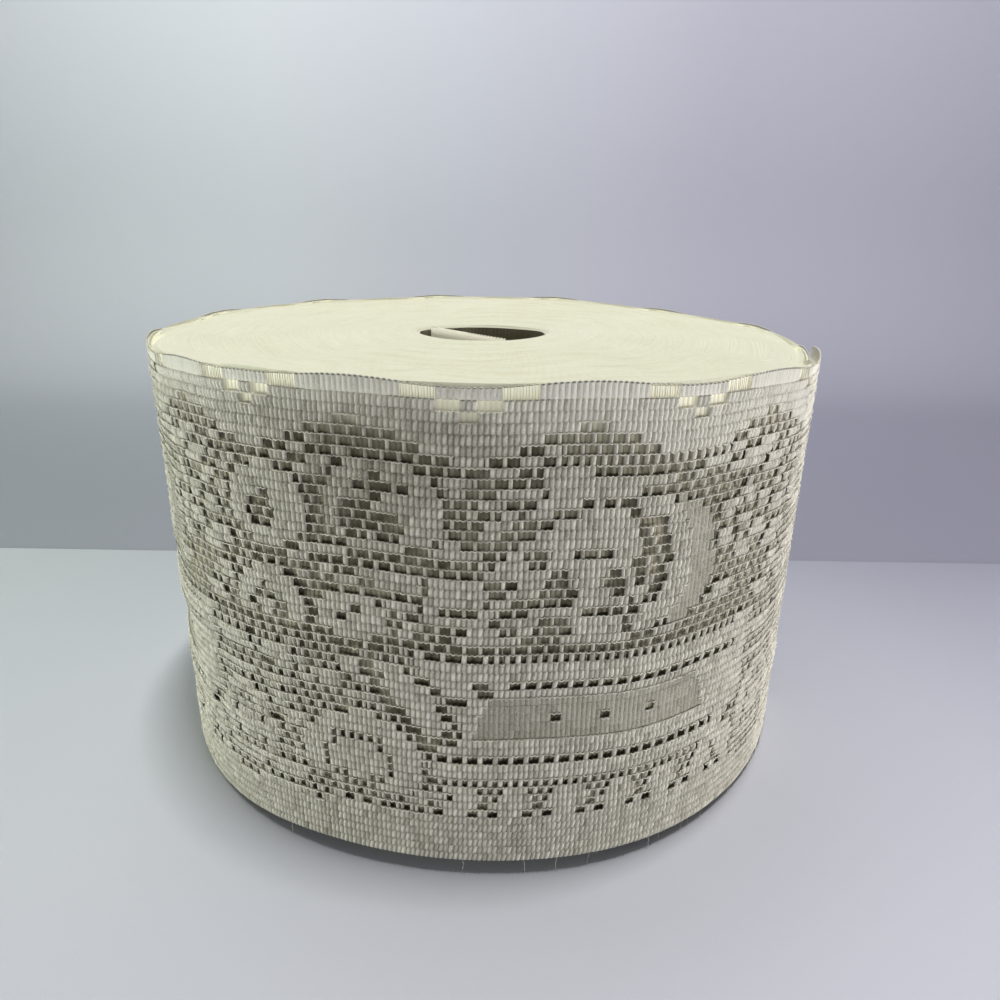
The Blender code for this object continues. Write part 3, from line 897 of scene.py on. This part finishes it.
def joined(name, parts, place, material):
    """One mesh of all the knitted parts, carried to their place."""
    flat = np.concatenate([part[0] for part in parts])
    tone_and_shade = np.concatenate([part[2] for part in parts])
    corners, sizes, start = [], [], 0
    for points, faces, _, count in parts:
        each = len(points) // max(count, 1)
        own = np.concatenate([np.array(face) for face in faces])
        corners.append((start + np.arange(count)[:, None] * each + own).ravel())
        sizes.append(np.tile([len(face) for face in faces], count))
        start += len(points)
    corners, sizes = np.concatenate(corners), np.concatenate(sizes)
    points = place(flat[:, 0], flat[:, 1], flat[:, 2])
    mesh = bpy.data.meshes.new(name)
    mesh.vertices.add(len(points))
    mesh.loops.add(len(corners))
    mesh.polygons.add(len(sizes))
    mesh.vertices.foreach_set("co", points.astype(np.float32).ravel())
    mesh.loops.foreach_set("vertex_index", corners.astype(np.int32))
    mesh.polygons.foreach_set("loop_start", (np.cumsum(sizes) - sizes).astype(np.int32))
    mesh.polygons.foreach_set("use_smooth", np.ones(len(sizes), bool))
    mesh.update(calc_edges=True)
    mesh.validate()
    laid = mesh.uv_layers.new(name="lace")
    laid.data.foreach_set("uv", flat[corners][:, :2].astype(np.float32).ravel())
    mesh.attributes.new("tone_and_shade", "FLOAT", "POINT").data.foreach_set("value", tone_and_shade.astype(np.float32))
    mesh.materials.append(material)
    piece = bpy.data.objects.new(name, mesh)
    bpy.context.scene.collection.objects.link(piece)
    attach(piece, "root")
    print(name, "triangles:", int((sizes - 2).sum()))
    return piece


HAIRS = 14
FLAT_UNEVEN = 0.06  # how uneven the flat stitches are
NET_SHIFT = np.array((0, 1, 0, 2, 1, 2))  # how far the net's posts are set along, from row to row
LEAN, LEAN_LOW = 0.10, 0.26  # how far stitches lean, and more so in the plain rows
LIGHT, PLAIN_LIGHT, POST_LIGHT, SHEER_LIGHT, CHAIN_LIGHT = 0.68, 0.58, 0.58, 0.20, 0.9
HAIR_ROWS, HAIR_SPREAD = (1.0, 24.0, 50.2), 0.4


def lace_parts(first, last):
    """Every stitch of the lace between two columns."""
    column, row = (grid.ravel() for grid in np.meshgrid(np.arange(first, last), np.arange(ROWS)))
    kind = charted(column, row)
    above = charted(column, row - 1)
    middle, line = column + 0.5, row + 0.5
    parts = []
    full = kind == FILLED
    plain = row >= PLAIN_FROM
    for part, lean, light in ((full & ~plain, LEAN, LIGHT), (full & plain, LEAN_LOW, PLAIN_LIGHT)):
        parts.append(knit(puff_stitch, middle[part], line[part], shaded=True, light=light, leaning=lean))
    set_along = (column + NET_SHIFT[row % len(NET_SHIFT)]) % 3
    net = (kind == NET) & np.where(row < UPPER_FIELD, set_along == 0, set_along > 0)
    parts.append(knit(post_stitch, middle[net], line[net], shaded=True, light=POST_LIGHT))
    sheer = kind == SHEER
    parts.append(knit(flat_stitch, middle[sheer], line[sheer], uneven=FLAT_UNEVEN, light=SHEER_LIGHT))
    bare = ((kind != FILLED) | (above != FILLED)) & (row > 0) & ~(sheer & (above == SHEER))
    parts.append(knit(chain, middle[bare], row[bare], light=CHAIN_LIGHT))
    for hair in hairs:
        spread = dice.uniform(first + 1.0, last - 1.0, HAIRS)
        down = dice.choice(HAIR_ROWS, HAIRS) + dice.normal(0.0, HAIR_SPREAD, HAIRS)
        parts.append(knit(hair, spread, down))
    return parts


LADDER_AT, LADDER_HALF = 8.5, 3.0  # ribs from each valley to the middle of its two ladders
SOLID_ROW, LADDER_ROW, LOOP_ROW = -0.5, -0.45, -1.0
SOLID_TALL, LADDER_TALL, SOLID_LIGHT = 0.93, 0.9, 0.85
SELVAGE_OUT = 0.00012


def selvage_parts(first, last):
    """The selvage above the first row, and the loops along its scalloped edge."""
    column = np.arange(first, last)
    away = (column + 0.5 - VALLEY + 0.5 * SCALLOP) % SCALLOP - 0.5 * SCALLOP
    ladder = np.abs(np.abs(away) - LADDER_AT) < LADDER_HALF
    middle = column + 0.5
    solid = ~ladder
    rows = np.full(solid.sum(), SOLID_ROW)
    parts = [knit(flat_stitch, middle[solid], rows, SELVAGE_OUT, FLAT_UNEVEN, SOLID_TALL, light=SOLID_LIGHT)]
    rows = np.full(ladder.sum(), LADDER_ROW)
    parts += [knit(thread, middle[ladder], rows, taller=LADDER_TALL) for thread in sheer_pair]
    parts.append(knit(loop_stitch, middle, np.full(len(middle), LOOP_ROW)))
    return parts


# %% [markdown]
# ## The outermost turn
#
# The outermost turn is one sheet of lace. It is knitted in arcs, so that no piece grows too heavy. The
# last arc is the loose end, which has a back of its own because it can be seen from behind.

# %% The lace round the roll
ARCS = (
    ("lace_front", -63, ROOT_COLUMN),
    ("lace_left", -170, -63),
    ("lace_back", -277, -170),
    ("lace_behind", END_COLUMN - RIBS, -277),
    ("lace_under_loose_end", ROOT_COLUMN - RIBS, END_COLUMN - RIBS),
)
# Painted light: the loose end's yarn glows, for the light that comes through it from behind.
LOOSE_GLOW = 0.14  # the light that comes through the thin loose end from behind
for name, first, last in ARCS:
    piece = joined(name, lace_parts(first, last) + selvage_parts(first, last), outer_place, lace_yarn)

first, last = ROOT_COLUMN, END_COLUMN
loose_yarn = yarn("loose_yarn", glow=LOOSE_GLOW)
knitted = lace_parts(first, last) + selvage_parts(first, last)
loose = joined("loose_end_lace", knitted, outer_place, loose_yarn)
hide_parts("loose_end")


# %% The back of the loose end
# Painted light and shade: the back of the loose end is coloured between a lit and a shaded cream, and glows
# to paint the light that comes through it from outside.
BACK_SHADE = (0.60, 0.58, 0.47, 1.0)
BACK_GLOW = 0.30  # the light that comes through the thin loose end from outside
BACK_FLAT = 0.35  # how far the back bulges, next to the front


def back_place(column, row, out):
    """Stitches that bulge inwards, towards the roll."""
    return outer_place(column, row, -BACK_FLAT * out)


column, row = (grid.ravel() for grid in np.meshgrid(np.arange(first, last), np.arange(ROWS)))
backed = charted(column, row) == FILLED
loose_back = joined(
    "loose_end_back", [knit(puff_stitch, column[backed] + 0.5, row[backed] + 0.5)], back_place,
    yarn("back_yarn", LIT_YARN, BACK_SHADE, BACK_GLOW),
)
loose_back.data.flip_normals()

# %% [markdown]
# ## The turns beneath
#
# Through every opening of the lace the next turns show, deep in shade. They are the same lace, but the
# holes of one turn rarely meet those of the next, so what is seen is a blur of ribs. One relief layer
# stands for them. Its heights and its colour follow the chart, shifted along by a part of a scallop,
# because each turn is a little shorter than the one outside it. Its colour is painted shade, dark with
# lighter ribs, with painted light round the sides and under the selvage, and a glow for the light that
# comes through from the end face.

# %% Material of the shaded turns, in painted shade and painted light
# Painted shade and light: the first two colours are the cream yarn darkened as if deep in shade, the third is
# painted light, and the fourth a glow that paints the light coming through the selvage.
DEEP = (0.17, 0.155, 0.105, 1.0)
DIM = (0.40, 0.375, 0.28, 1.0)
PAINTED_LIGHT_COLOUR = (0.86, 0.84, 0.66, 1.0)
THROUGH = (0.51, 0.50, 0.39, 1.0)  # light that comes through the selvage from the bright end face


# Painted shade: the turns beneath are coloured dark and lighter on their ribs, with painted light and a glow
# near the selvage.
def shaded(name, glow=1.0):
    recipe = Recipe(name, 0.95)
    column, row = recipe.along("lace")
    rib = (column * math.pi).sine().size()
    fuzz = recipe.noise(recipe.vector(column * 2.0, row * 2.0), 1.0, 3.0)
    dusk = (recipe.attribute("tone_and_shade") * (0.35 + 0.65 * rib) * (0.5 + fuzz)).between(0.0, 1.0)
    painted_light_share = recipe.attribute("painted_light_share")
    recipe.colour(recipe.mix(painted_light_share, recipe.mix(dusk, DEEP, DIM), PAINTED_LIGHT_COLOUR))
    glowing = recipe.mix(painted_light_share * painted_light_share, (0.0, 0.0, 0.0, 1.0), THROUGH)
    recipe.tree.links.new(glowing.socket, recipe.shader.inputs["Emission Color"])
    recipe.shader.inputs["Emission Strength"].default_value = glow
    recipe.bump(rib * 0.7 + fuzz * 0.3, 0.8, 0.0003)
    return recipe.material


shaded_lace = shaded("shaded_lace")
painted_shade_lace = shaded("painted_shade_lace", 0.0)


# %% A sheet of lace
def sheet_of(name, columns, rows, place, material, marks=(), ring=False):
    """A flat grid of so many ribs and rows, its points carried to where place(column, row) says."""
    begin()
    bpy.ops.mesh.primitive_grid_add(x_subdivisions=columns, y_subdivisions=rows, size=1.0)
    piece = bpy.context.object
    piece.name = name
    mesh = piece.data
    flat = np.empty(3 * len(mesh.vertices), np.float32)
    mesh.vertices.foreach_get("co", flat)
    column = (flat[0::3].astype(float) + 0.5) * columns
    row = (0.5 - flat[1::3].astype(float)) * rows
    mesh.vertices.foreach_set("co", place(column, row).astype(np.float32).ravel())
    for mark, value in marks:
        layer = mesh.attributes.new(mark, "FLOAT", "POINT")
        layer.data.foreach_set("value", np.broadcast_to(value(column, row), column.shape).astype(np.float32))
    laid = mesh.uv_layers[0]
    laid.name = "lace"
    flat = np.empty(2 * len(mesh.loops), np.float32)
    laid.data.foreach_get("uv", flat)
    flat[0::2] *= columns
    flat[1::2] = (1.0 - flat[1::2]) * rows
    laid.data.foreach_set("uv", flat)
    if ring:
        on_whole_mesh((bpy.ops.mesh.remove_doubles, {"threshold": 1e-6}))
    bpy.ops.object.shade_smooth()
    mesh.materials.append(material)
    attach(piece, "root")
    print(name, "triangles:", sum(len(face.vertices) - 2 for face in mesh.polygons))
    return piece


# %% The second turn
SHIFT = 17  # ribs by which the next turn's chart is shifted
SECOND_DEPTH = 0.0013
RELIEF = 0.00035
TOP_ROW = -1.0
SECOND_DROP = 0.0003
# Painted light: the second turn is painted lighter round the sides, and its selvage and top rows are painted
# lit.
LIT_LEFT, LIT_RIGHT, LIT_RUN = -28.0, 4.0, 42.0
NEAR_LIGHT = (0.95, 0.68, 0.60, 0.40, 0.08)  # how much light reaches the selvage and the rows below it


def second_place(column, row):
    column, row = END_COLUMN - RIBS + column, row + TOP_ROW
    angle = column * RIB_ANGLE
    height = lace_height(column, row, creep(angle))
    level = (height - creep(angle)) / (top_edge(angle) - creep(angle))
    radius = ROLL_RADIUS - step_depth(angle) + soft_waves(angle, level) - SECOND_DEPTH
    return point_at(radius + RELIEF * second_full(column, row), angle, height - SECOND_DROP)


def second_full(column, row):
    whole = np.floor(column + 0.01).astype(int) + SHIFT, np.maximum(np.floor(row + 0.01).astype(int) - 1, 0)
    return (charted(*whole) == FILLED) * 1.0


def second_tone_and_shade(column, row):
    """The next turn is painted in deep shade at the front, and painted lighter round the sides."""
    angle = between(column * RIB_ANGLE)
    sideways = smooth((angle - LIT_RIGHT) / LIT_RUN) + smooth((LIT_LEFT - angle) / LIT_RUN)
    return second_full(column, row) * (1.0 - SHADE_PATCH_DEPTH * painted_shade_patch(column, row)) + sideways


second = sheet_of(
    "second_turn", RIBS, ROWS + 1, second_place, shaded_lace,
    (("tone_and_shade", lambda column, row: second_tone_and_shade(column + END_COLUMN - RIBS, row + TOP_ROW)),
     ("painted_light_share", lambda column, row: np.interp(row, range(6), (*NEAR_LIGHT, 0.0)))),
    ring=True,
)
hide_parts("wound_roll")

# %% [markdown]
# ## The end face
#
# The end face is the edge of one long band, seen end on. Single turns can't be counted in the photograph,
# so 163 of them, four tenths of a millimetre apart, are a guess from how such lace packs. A single spiral
# strip with a ridge and a valley for each turn gives them all. The band's
# scallops do not meet from turn to turn, because each turn is a little longer, so their small rises and
# falls drift into swirls. Its height follows the length of band wound so far, which draws the same
# swirls here by itself.

# %% Material of the turn edges
EDGE = (0.83, 0.825, 0.66, 1.0)
EDGE_SHADE = (0.72, 0.71, 0.52, 1.0)
# Painted shade: the groove behind the outermost turn is painted dark.
GROOVE_PAINTED_SHADE = (0.16, 0.14, 0.09, 1.0)


def turn_edges(name):
    recipe = Recipe(name, 0.95, 0.15)
    rib, turn = recipe.along("lace")
    loops = (rib * math.pi).sine().size()
    fuzz = recipe.noise(recipe.place(), 900.0, 4.0)
    patches = recipe.noise(recipe.place(), 55.0, 3.0)
    streaks = recipe.noise(recipe.vector(rib * 0.10, turn * 0.35), 1.0, 3.0)
    warm = patches * 0.9 + streaks * 0.9 + fuzz * 1.0 + loops * 0.10 - 0.92
    edge = recipe.mix(warm.between(0.0, 1.0), EDGE_SHADE, EDGE)
    # Painted shade in the groove behind the outermost turn, broken into dots by the loops.
    painted_shade_dots = recipe.attribute("groove") * (0.35 + 0.65 * loops)
    recipe.colour(recipe.mix(painted_shade_dots, edge, GROOVE_PAINTED_SHADE))
    recipe.bump(loops * 0.2 + fuzz * 1.1 + streaks * 0.3, 0.4, 0.0003)
    return recipe.material


edge_yarn = turn_edges("edge_yarn")

# %% The spiral of turns
TURNS = 163
STEPS = 240
RIDGE = 0.00004
LIP_RUN = 0.0024
INSIDE_RISE = 0.12  # how much of the scallop's rise is left a little inside the rim
GROOVE_AT, GROOVE_HALF, GROOVE_DEEP = 0.0005, 0.0003, 0.00015
INNERMOST = HOLE_RADIUS + 0.0006
SPIRAL_INSIDE = 0.0005  # how far inside the outermost turn the spiral ends
LEVEL_DROP = 0.0002
HOLE_EDGE_RUN, HOLE_EDGE_DROP = 0.0012, 0.0008  # the innermost turns are rounded off by this much
last_step = TURNS * STEPS


def wound_length(share):
    """Length of band wound when the spiral has come this far out."""
    return 2.0 * math.pi * TURNS * (INNERMOST * share + 0.5 * (ROLL_RADIUS - INNERMOST) * share * share)


def spiral_rim(angle):
    turned = angle % 360.0
    past = (turned > ROOT_ANGLE) & (turned < FLARES[0]["middle"] + FLARES[0]["spread"])
    leaning = np.where(past, 0.0, flare(angle, 1.0))
    return ROLL_RADIUS - step_depth(angle) + soft_waves(angle, 1.0) + leaning - SPIRAL_INSIDE


def round_the_hole(radius, angle, height):
    """Points whose rings move over towards the hole's own middle, the nearer they lie to it."""
    points = point_at(radius, angle, height)
    points[:, 0] -= HOLE_ASIDE * (1.0 - smooth((radius - HOLE_RADIUS) / (ROLL_RADIUS - HOLE_RADIUS)))
    return points


def spiral_line(step, offset):
    """Points of the ridge that lies offset turns further out, with the groove's share."""
    share = np.clip((step + offset * STEPS) / last_step, 0.0, 1.0)
    angle = END_ANGLE - (last_step - step) * 360.0 / STEPS
    rim = spiral_rim(angle)
    radius = INNERMOST + (rim - INNERMOST) * share
    column = END_COLUMN - (wound_length(1.0) - wound_length(share)) / RIB
    inside = rim - radius
    lip = smooth(1.0 - inside / LIP_RUN)
    level = LACE_WIDTH + creep(angle) + around(RIM, angle) - LEVEL_DROP
    face = face_height(radius, angle)
    rise = SCALLOP_RISE * (INSIDE_RISE + (1.0 - INSIDE_RISE) * lip)
    wave = -rise * np.cos(2.0 * np.pi * (column - VALLEY) / SCALLOP)
    groove = smooth(1.0 - np.abs(inside - GROOVE_AT) / GROOVE_HALF)
    hole_edge = smooth(1.0 - (radius - INNERMOST) / HOLE_EDGE_RUN)
    height = face + (level - face) * lip + wave - GROOVE_DEEP * groove - HOLE_EDGE_DROP * hole_edge
    return round_the_hole(radius, angle, height), groove


def spiral_place(column, row):
    """The outer ridge at row 2, the inner ridge at row 0, and the valley between them."""
    outer, inner = spiral_line(column, 1.0)[0], spiral_line(column, 0.0)[0]
    share = (0.5 * row)[:, None]
    points = inner + (outer - inner) * share
    points[:, 2] -= RIDGE * (np.abs(row - 1.0) < 0.5)
    return points


end_face = sheet_of(
    "turn_edges", last_step, 2, spiral_place, edge_yarn,
    (("groove", lambda column, row: spiral_line(column, 0.5 * row)[1]),),
)
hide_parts("wound_roll")
up = np.zeros(3 * len(end_face.data.polygons), np.float32)
end_face.data.polygons.foreach_get("normal", up)
print("faces of the end face that look up:", round(float((up[2::3] > 0).mean()), 3))

# %% [markdown]
# ## Under the roll and inside the hole
#
# The roll stands on the lower edges of its turns, flat but for the front, where the outer ones have
# crept up. The wall of the hole is the innermost turn. Both are seen only at a slant, so a relief of
# rings and ribs is enough, and the fine threads are left to the bump of the material. Both are painted
# in shade: the underside dark, so that the gap under the front looks shadowed, and the wall of the hole
# dark, with painted light near its top.

# %% Underside and hole
UNDER_COLUMNS, RINGS = 360, 25
# Painted shade: the underside is coloured dark, so the gap under the front looks shadowed.
UNDER_INSIDE, RING_RISE, UNDER_SHADE_TONE = 0.0012, 0.0001, 0.2
# Painted shade and light: the hole's wall is coloured dark, and its filled squares are painted lighter near
# the top, fading over so many rows.
HOLE_TOP_DROP, HOLE_PAINTED_LIGHT, HOLE_PAINTED_LIGHT_ROWS = 0.0006, 0.18, 14.0
HOLE_RIBS = 97
# Painted light near the top of the hole, row by row.
HOLE_LIGHT = (0.12, 0.02, 0.0, 0.0)
hole_axis = AXIS - Vector((HOLE_ASIDE, 0.0, 0.0))


def under_place(column, row):
    angle = column * 360.0 / UNDER_COLUMNS
    share = 1.0 - row / RINGS
    rim = ROLL_RADIUS - step_depth(angle) + soft_waves(angle, 0.0) - UNDER_INSIDE
    radius = INNERMOST + (rim - INNERMOST) * share
    height = creep(angle) * creeping(radius) + RING_RISE * (np.round(row) % 2)
    return round_the_hole(radius, angle, height)


under = sheet_of(
    "turn_edges_under", UNDER_COLUMNS, RINGS, under_place, painted_shade_lace,
    (("tone_and_shade", lambda column, row: UNDER_SHADE_TONE),), ring=True,
)
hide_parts("wound_roll")


def hole_full(column, row):
    return (charted(np.round(column).astype(int), np.round(row).astype(int)) == FILLED) * 1.0


def hole_place(column, row):
    angle = -column * 360.0 / HOLE_RIBS
    high = face_height(np.full(angle.shape, HOLE_RADIUS), angle) - HOLE_TOP_DROP
    whole = np.where(column > HOLE_RIBS - 0.5, 0.0, column)
    return point_at(INNERMOST - RELIEF * hole_full(whole, row), angle, high * (1.0 - row / ROWS), hole_axis)


hole = sheet_of(
    "hole_wall", HOLE_RIBS, ROWS, hole_place, painted_shade_lace,
    (("tone_and_shade", lambda column, row: HOLE_PAINTED_LIGHT * hole_full(column, row) * smooth(1.0 - row / HOLE_PAINTED_LIGHT_ROWS)),
     ("painted_light_share", lambda column, row: np.interp(row, range(4), HOLE_LIGHT))),
    ring=True,
)
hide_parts("wound_roll")

# %% [markdown]
# ## The loose inner end
#
# The first turn has sprung away from the wall of the hole and lies across its front left like a flat
# spring. It is a thin sheet between two points of the wall, along a flatter arc than the wall's, and
# gets its thickness from Solidify.


# %% Inner end
def flatter_arc(start, end, rise, share):
    """Points on the arc from start to end that stands out from its chord, to its left, by the rise."""
    chord = end - start
    half = 0.5 * np.hypot(*chord)
    radius = (half * half + rise * rise) / (2.0 * rise)
    swing = np.arcsin(half / radius) * (2.0 * share - 1.0)
    along = chord / (2.0 * half)
    out = np.array([-along[1], along[0]])
    middle = 0.5 * (start + end) + (rise - radius)[..., None] * out
    bow = np.sin(swing)[..., None] * along + np.cos(swing)[..., None] * out
    return middle + radius[..., None] * bow


INNER_RIBS = 34
INNER_THICK = 0.0007
# Painted light and shade: the inner end is coloured between a lit and a shaded cream, and glows to paint the
# light that filters into the hole.
INNER_LIGHT, INNER_SHADE = (0.80, 0.77, 0.56, 1.0), (0.50, 0.47, 0.30, 1.0)
INNER_GLOW = 0.30
reach = HOLE_RADIUS - GAP - INNER_SLACK
near_end = point_at(reach, INNER_END, 0.0, hole_axis)[:2]
far_end = point_at(reach, INNER_START, 0.0, hole_axis)[:2]


def inner_place(column, row):
    share, up = column / INNER_RIBS, 1.0 - row / ROWS
    bowed = flatter_arc(near_end, far_end, INNER_RISE_LOW + (INNER_RISE - INNER_RISE_LOW) * up, share)
    top = LACE_WIDTH + INNER_PROUD * np.sin(np.pi * share)
    return np.concatenate([bowed, (END_CLEAR + (top - END_CLEAR) * up)[:, None]], axis=1)


inner = sheet_of(
    "inner_end_lace", INNER_RIBS, ROWS, inner_place, yarn("inner_yarn", INNER_LIGHT, INNER_SHADE, INNER_GLOW),
    (("tone_and_shade", lambda column, row: 0.2 + 0.7 * hole_full(column, row)),),
)
begin()
inner.select_set(True)
bpy.context.view_layer.objects.active = inner
thicken = inner.modifiers.new("thickness", "SOLIDIFY")
thicken.thickness = INNER_THICK
thicken.offset = 1.0
bpy.ops.object.modifier_apply(modifier="thickness")
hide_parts("inner_end")
print("inner end points:", len(inner.data.vertices))

# %% [markdown]
# ## Paper, table and light
#
# The roll stands near the back edge of a pale sheet of paper, which ends under it. Behind the edge lies
# a larger sheet, coloured darker near the edge as painted shade, which runs back and sweeps up into the
# backdrop well behind the roll. Both blend from a left to a right colour, and from near to far, which
# paints uneven light and shade into their colours. The main lamp is narrow from front to back and hangs
# just behind the plane of the front wall. So the end face is bright, and the front is lit by what the
# paper throws back and by low lamps at both sides and in front.

# %% Paper and table
SEAM_LEFT, SEAM_RIGHT = (-0.130, 0.0777), (0.139, 0.0756)  # the paper's back edge, from the roll's axis
PAPER_FRONT = -0.32
PAPER_WIDE = 2.6  # one over the width, in metres, from the left colour to the right one
PAPER_GROWS = 2.2  # the paper reaches its near colour well before its front edge
SHEET_DROP = 0.0004
SWEEP_AT, SWEEP_RADIUS = 0.34, 0.14
TABLE_FRONT, TABLE_RUN, TABLE_WIDE = 2.0, 1.9, 5.0  # before the roll, behind it, and from side to side
FRONT_STRIP, REST = -0.48, 0.98  # where on the unit grid its first strip ends, and what is left of it
# Painted light and shade: the back sheet runs from dark near colours by the edge to light far colours up the
# sweep, and the paper from its back colours to lighter near ones, both also from left to right.
PALE_FROM, PALE_RUN = 0.11, 0.78
NEAR_LEFT, NEAR_RIGHT = (0.28, 0.308, 0.325, 1.0), (0.29, 0.285, 0.355, 1.0)
FAR_LEFT, FAR_RIGHT = (0.79, 0.83, 0.88, 1.0), (0.55, 0.55, 0.645, 1.0)
PAPER_LEFT, PAPER_RIGHT = (0.46, 0.51, 0.505, 1.0), (0.345, 0.345, 0.42, 1.0)
PAPER_NEAR_LEFT, PAPER_NEAR_RIGHT = (0.57, 0.605, 0.635, 1.0), (0.65, 0.65, 0.745, 1.0)


def paper(name, left, right, far):
    recipe = Recipe(name, 0.75)
    x = recipe.box("ShaderNodeSeparateXYZ", None, {0: recipe.place()}, 0)
    share = (x * PAPER_WIDE + 0.5).between(0.0, 1.0)
    colour = recipe.mix(recipe.attribute("far"), recipe.mix(share, left, right), recipe.mix(share, *far))
    recipe.colour(colour)
    recipe.bump(recipe.noise(recipe.place(), 1500.0, 2.0), 0.15, 0.0002)
    return recipe.material


begin()
bpy.ops.mesh.primitive_plane_add(size=4.0)
floor = bpy.context.object
floor.name = "paper_sheet"
slope = (SEAM_RIGHT[1] - SEAM_LEFT[1]) / (SEAM_RIGHT[0] - SEAM_LEFT[0])
for corner in floor.data.vertices:
    edge = AXIS.y + SEAM_LEFT[1] + slope * (corner.co.x - AXIS.x - SEAM_LEFT[0])
    corner.co.y = edge if corner.co.y > 0.0 else PAPER_FRONT
nearer = floor.data.attributes.new("far", "FLOAT", "POINT")
for corner in floor.data.vertices:
    nearer.data[corner.index].value = 0.0 if corner.co.y > 0.0 else PAPER_GROWS
floor.data.materials.append(paper("paper", PAPER_LEFT, PAPER_RIGHT, (PAPER_NEAR_LEFT, PAPER_NEAR_RIGHT)))

begin()
bpy.ops.mesh.primitive_grid_add(x_subdivisions=2, y_subdivisions=60, size=1.0)
table = bpy.context.object
table.name = "table"
quarter = 0.5 * math.pi * SWEEP_RADIUS
far_mark = table.data.attributes.new("far", "FLOAT", "POINT")
for corner in table.data.vertices:
    if corner.co.y < FRONT_STRIP:
        run = -TABLE_FRONT + (corner.co.y + 0.5) * 2.0
    else:
        run = (corner.co.y - FRONT_STRIP) / REST * TABLE_RUN
    turn = min(max(run - SWEEP_AT, 0.0), quarter) / SWEEP_RADIUS
    y = min(run, SWEEP_AT) + SWEEP_RADIUS * math.sin(turn)
    z = SWEEP_RADIUS * (1.0 - math.cos(turn)) + max(run - SWEEP_AT - quarter, 0.0) - SHEET_DROP
    far_mark.data[corner.index].value = float(smooth((run - PALE_FROM) / PALE_RUN))
    corner.co = (corner.co.x * TABLE_WIDE, y, z)
table.data.materials.append(paper("table_paper", NEAR_LEFT, NEAR_RIGHT, (FAR_LEFT, FAR_RIGHT)))
bpy.ops.object.shade_smooth()
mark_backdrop(floor, table)

# %% Lamps
LAMPS = (  # name, place, aim, width and depth in metres, power in watts, and colour
    ("overhead", (0.06, -0.075, 1.20), (0.0, -0.05, 0.1), 0.22, 0.02, 8.4, (1.0, 0.99, 0.97)),
    ("right_glow", (0.52, -0.16, 0.025), (0.0, 0.0, 0.05), 0.20, 0.03, 1.75, (1.0, 0.97, 0.97)),
    ("left_glow", (-0.50, -0.10, 0.025), (0.0, 0.0, 0.05), 0.20, 0.03, 1.6, (0.94, 1.0, 0.88)),
    ("front_glow", (0.10, -0.90, 0.06), (0.0, 0.0, 0.05), 0.40, 0.08, 1.2, (1.0, 0.99, 1.0)),
    ("backdrop_wash", (-0.10, 0.10, 0.75), (-0.05, 0.48, 0.2), 0.3, 0.3, 1.0, (1.0, 1.0, 1.0)),
)


def lamp(name, place, aim, wide, high, power, colour):
    bpy.ops.object.light_add(type="AREA", location=place)
    made = bpy.context.object
    made.name = name
    made.data.shape = "RECTANGLE"
    made.data.size, made.data.size_y = wide, high
    made.data.energy = power
    made.data.color = colour
    made.rotation_euler = (Vector(aim) - Vector(place)).to_track_quat("-Z", "Y").to_euler()


for row in LAMPS:
    lamp(*row)
world = bpy.context.scene.world or bpy.data.worlds.new("room")
bpy.context.scene.world = world
world.use_nodes = True
room = world.node_tree.nodes["Background"]
room.inputs["Color"].default_value = (0.97, 0.98, 1.0, 1.0)
room.inputs["Strength"].default_value = 0.10

# %% [markdown]
# ## Measuring and finishing
#
# The last cell counts the triangles of all the pieces that are shown.

# %% Finish
added = sum(len(p.data.loop_triangles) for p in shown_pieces() if p.data.calc_loop_triangles() is None)
print("triangles in all:", added)
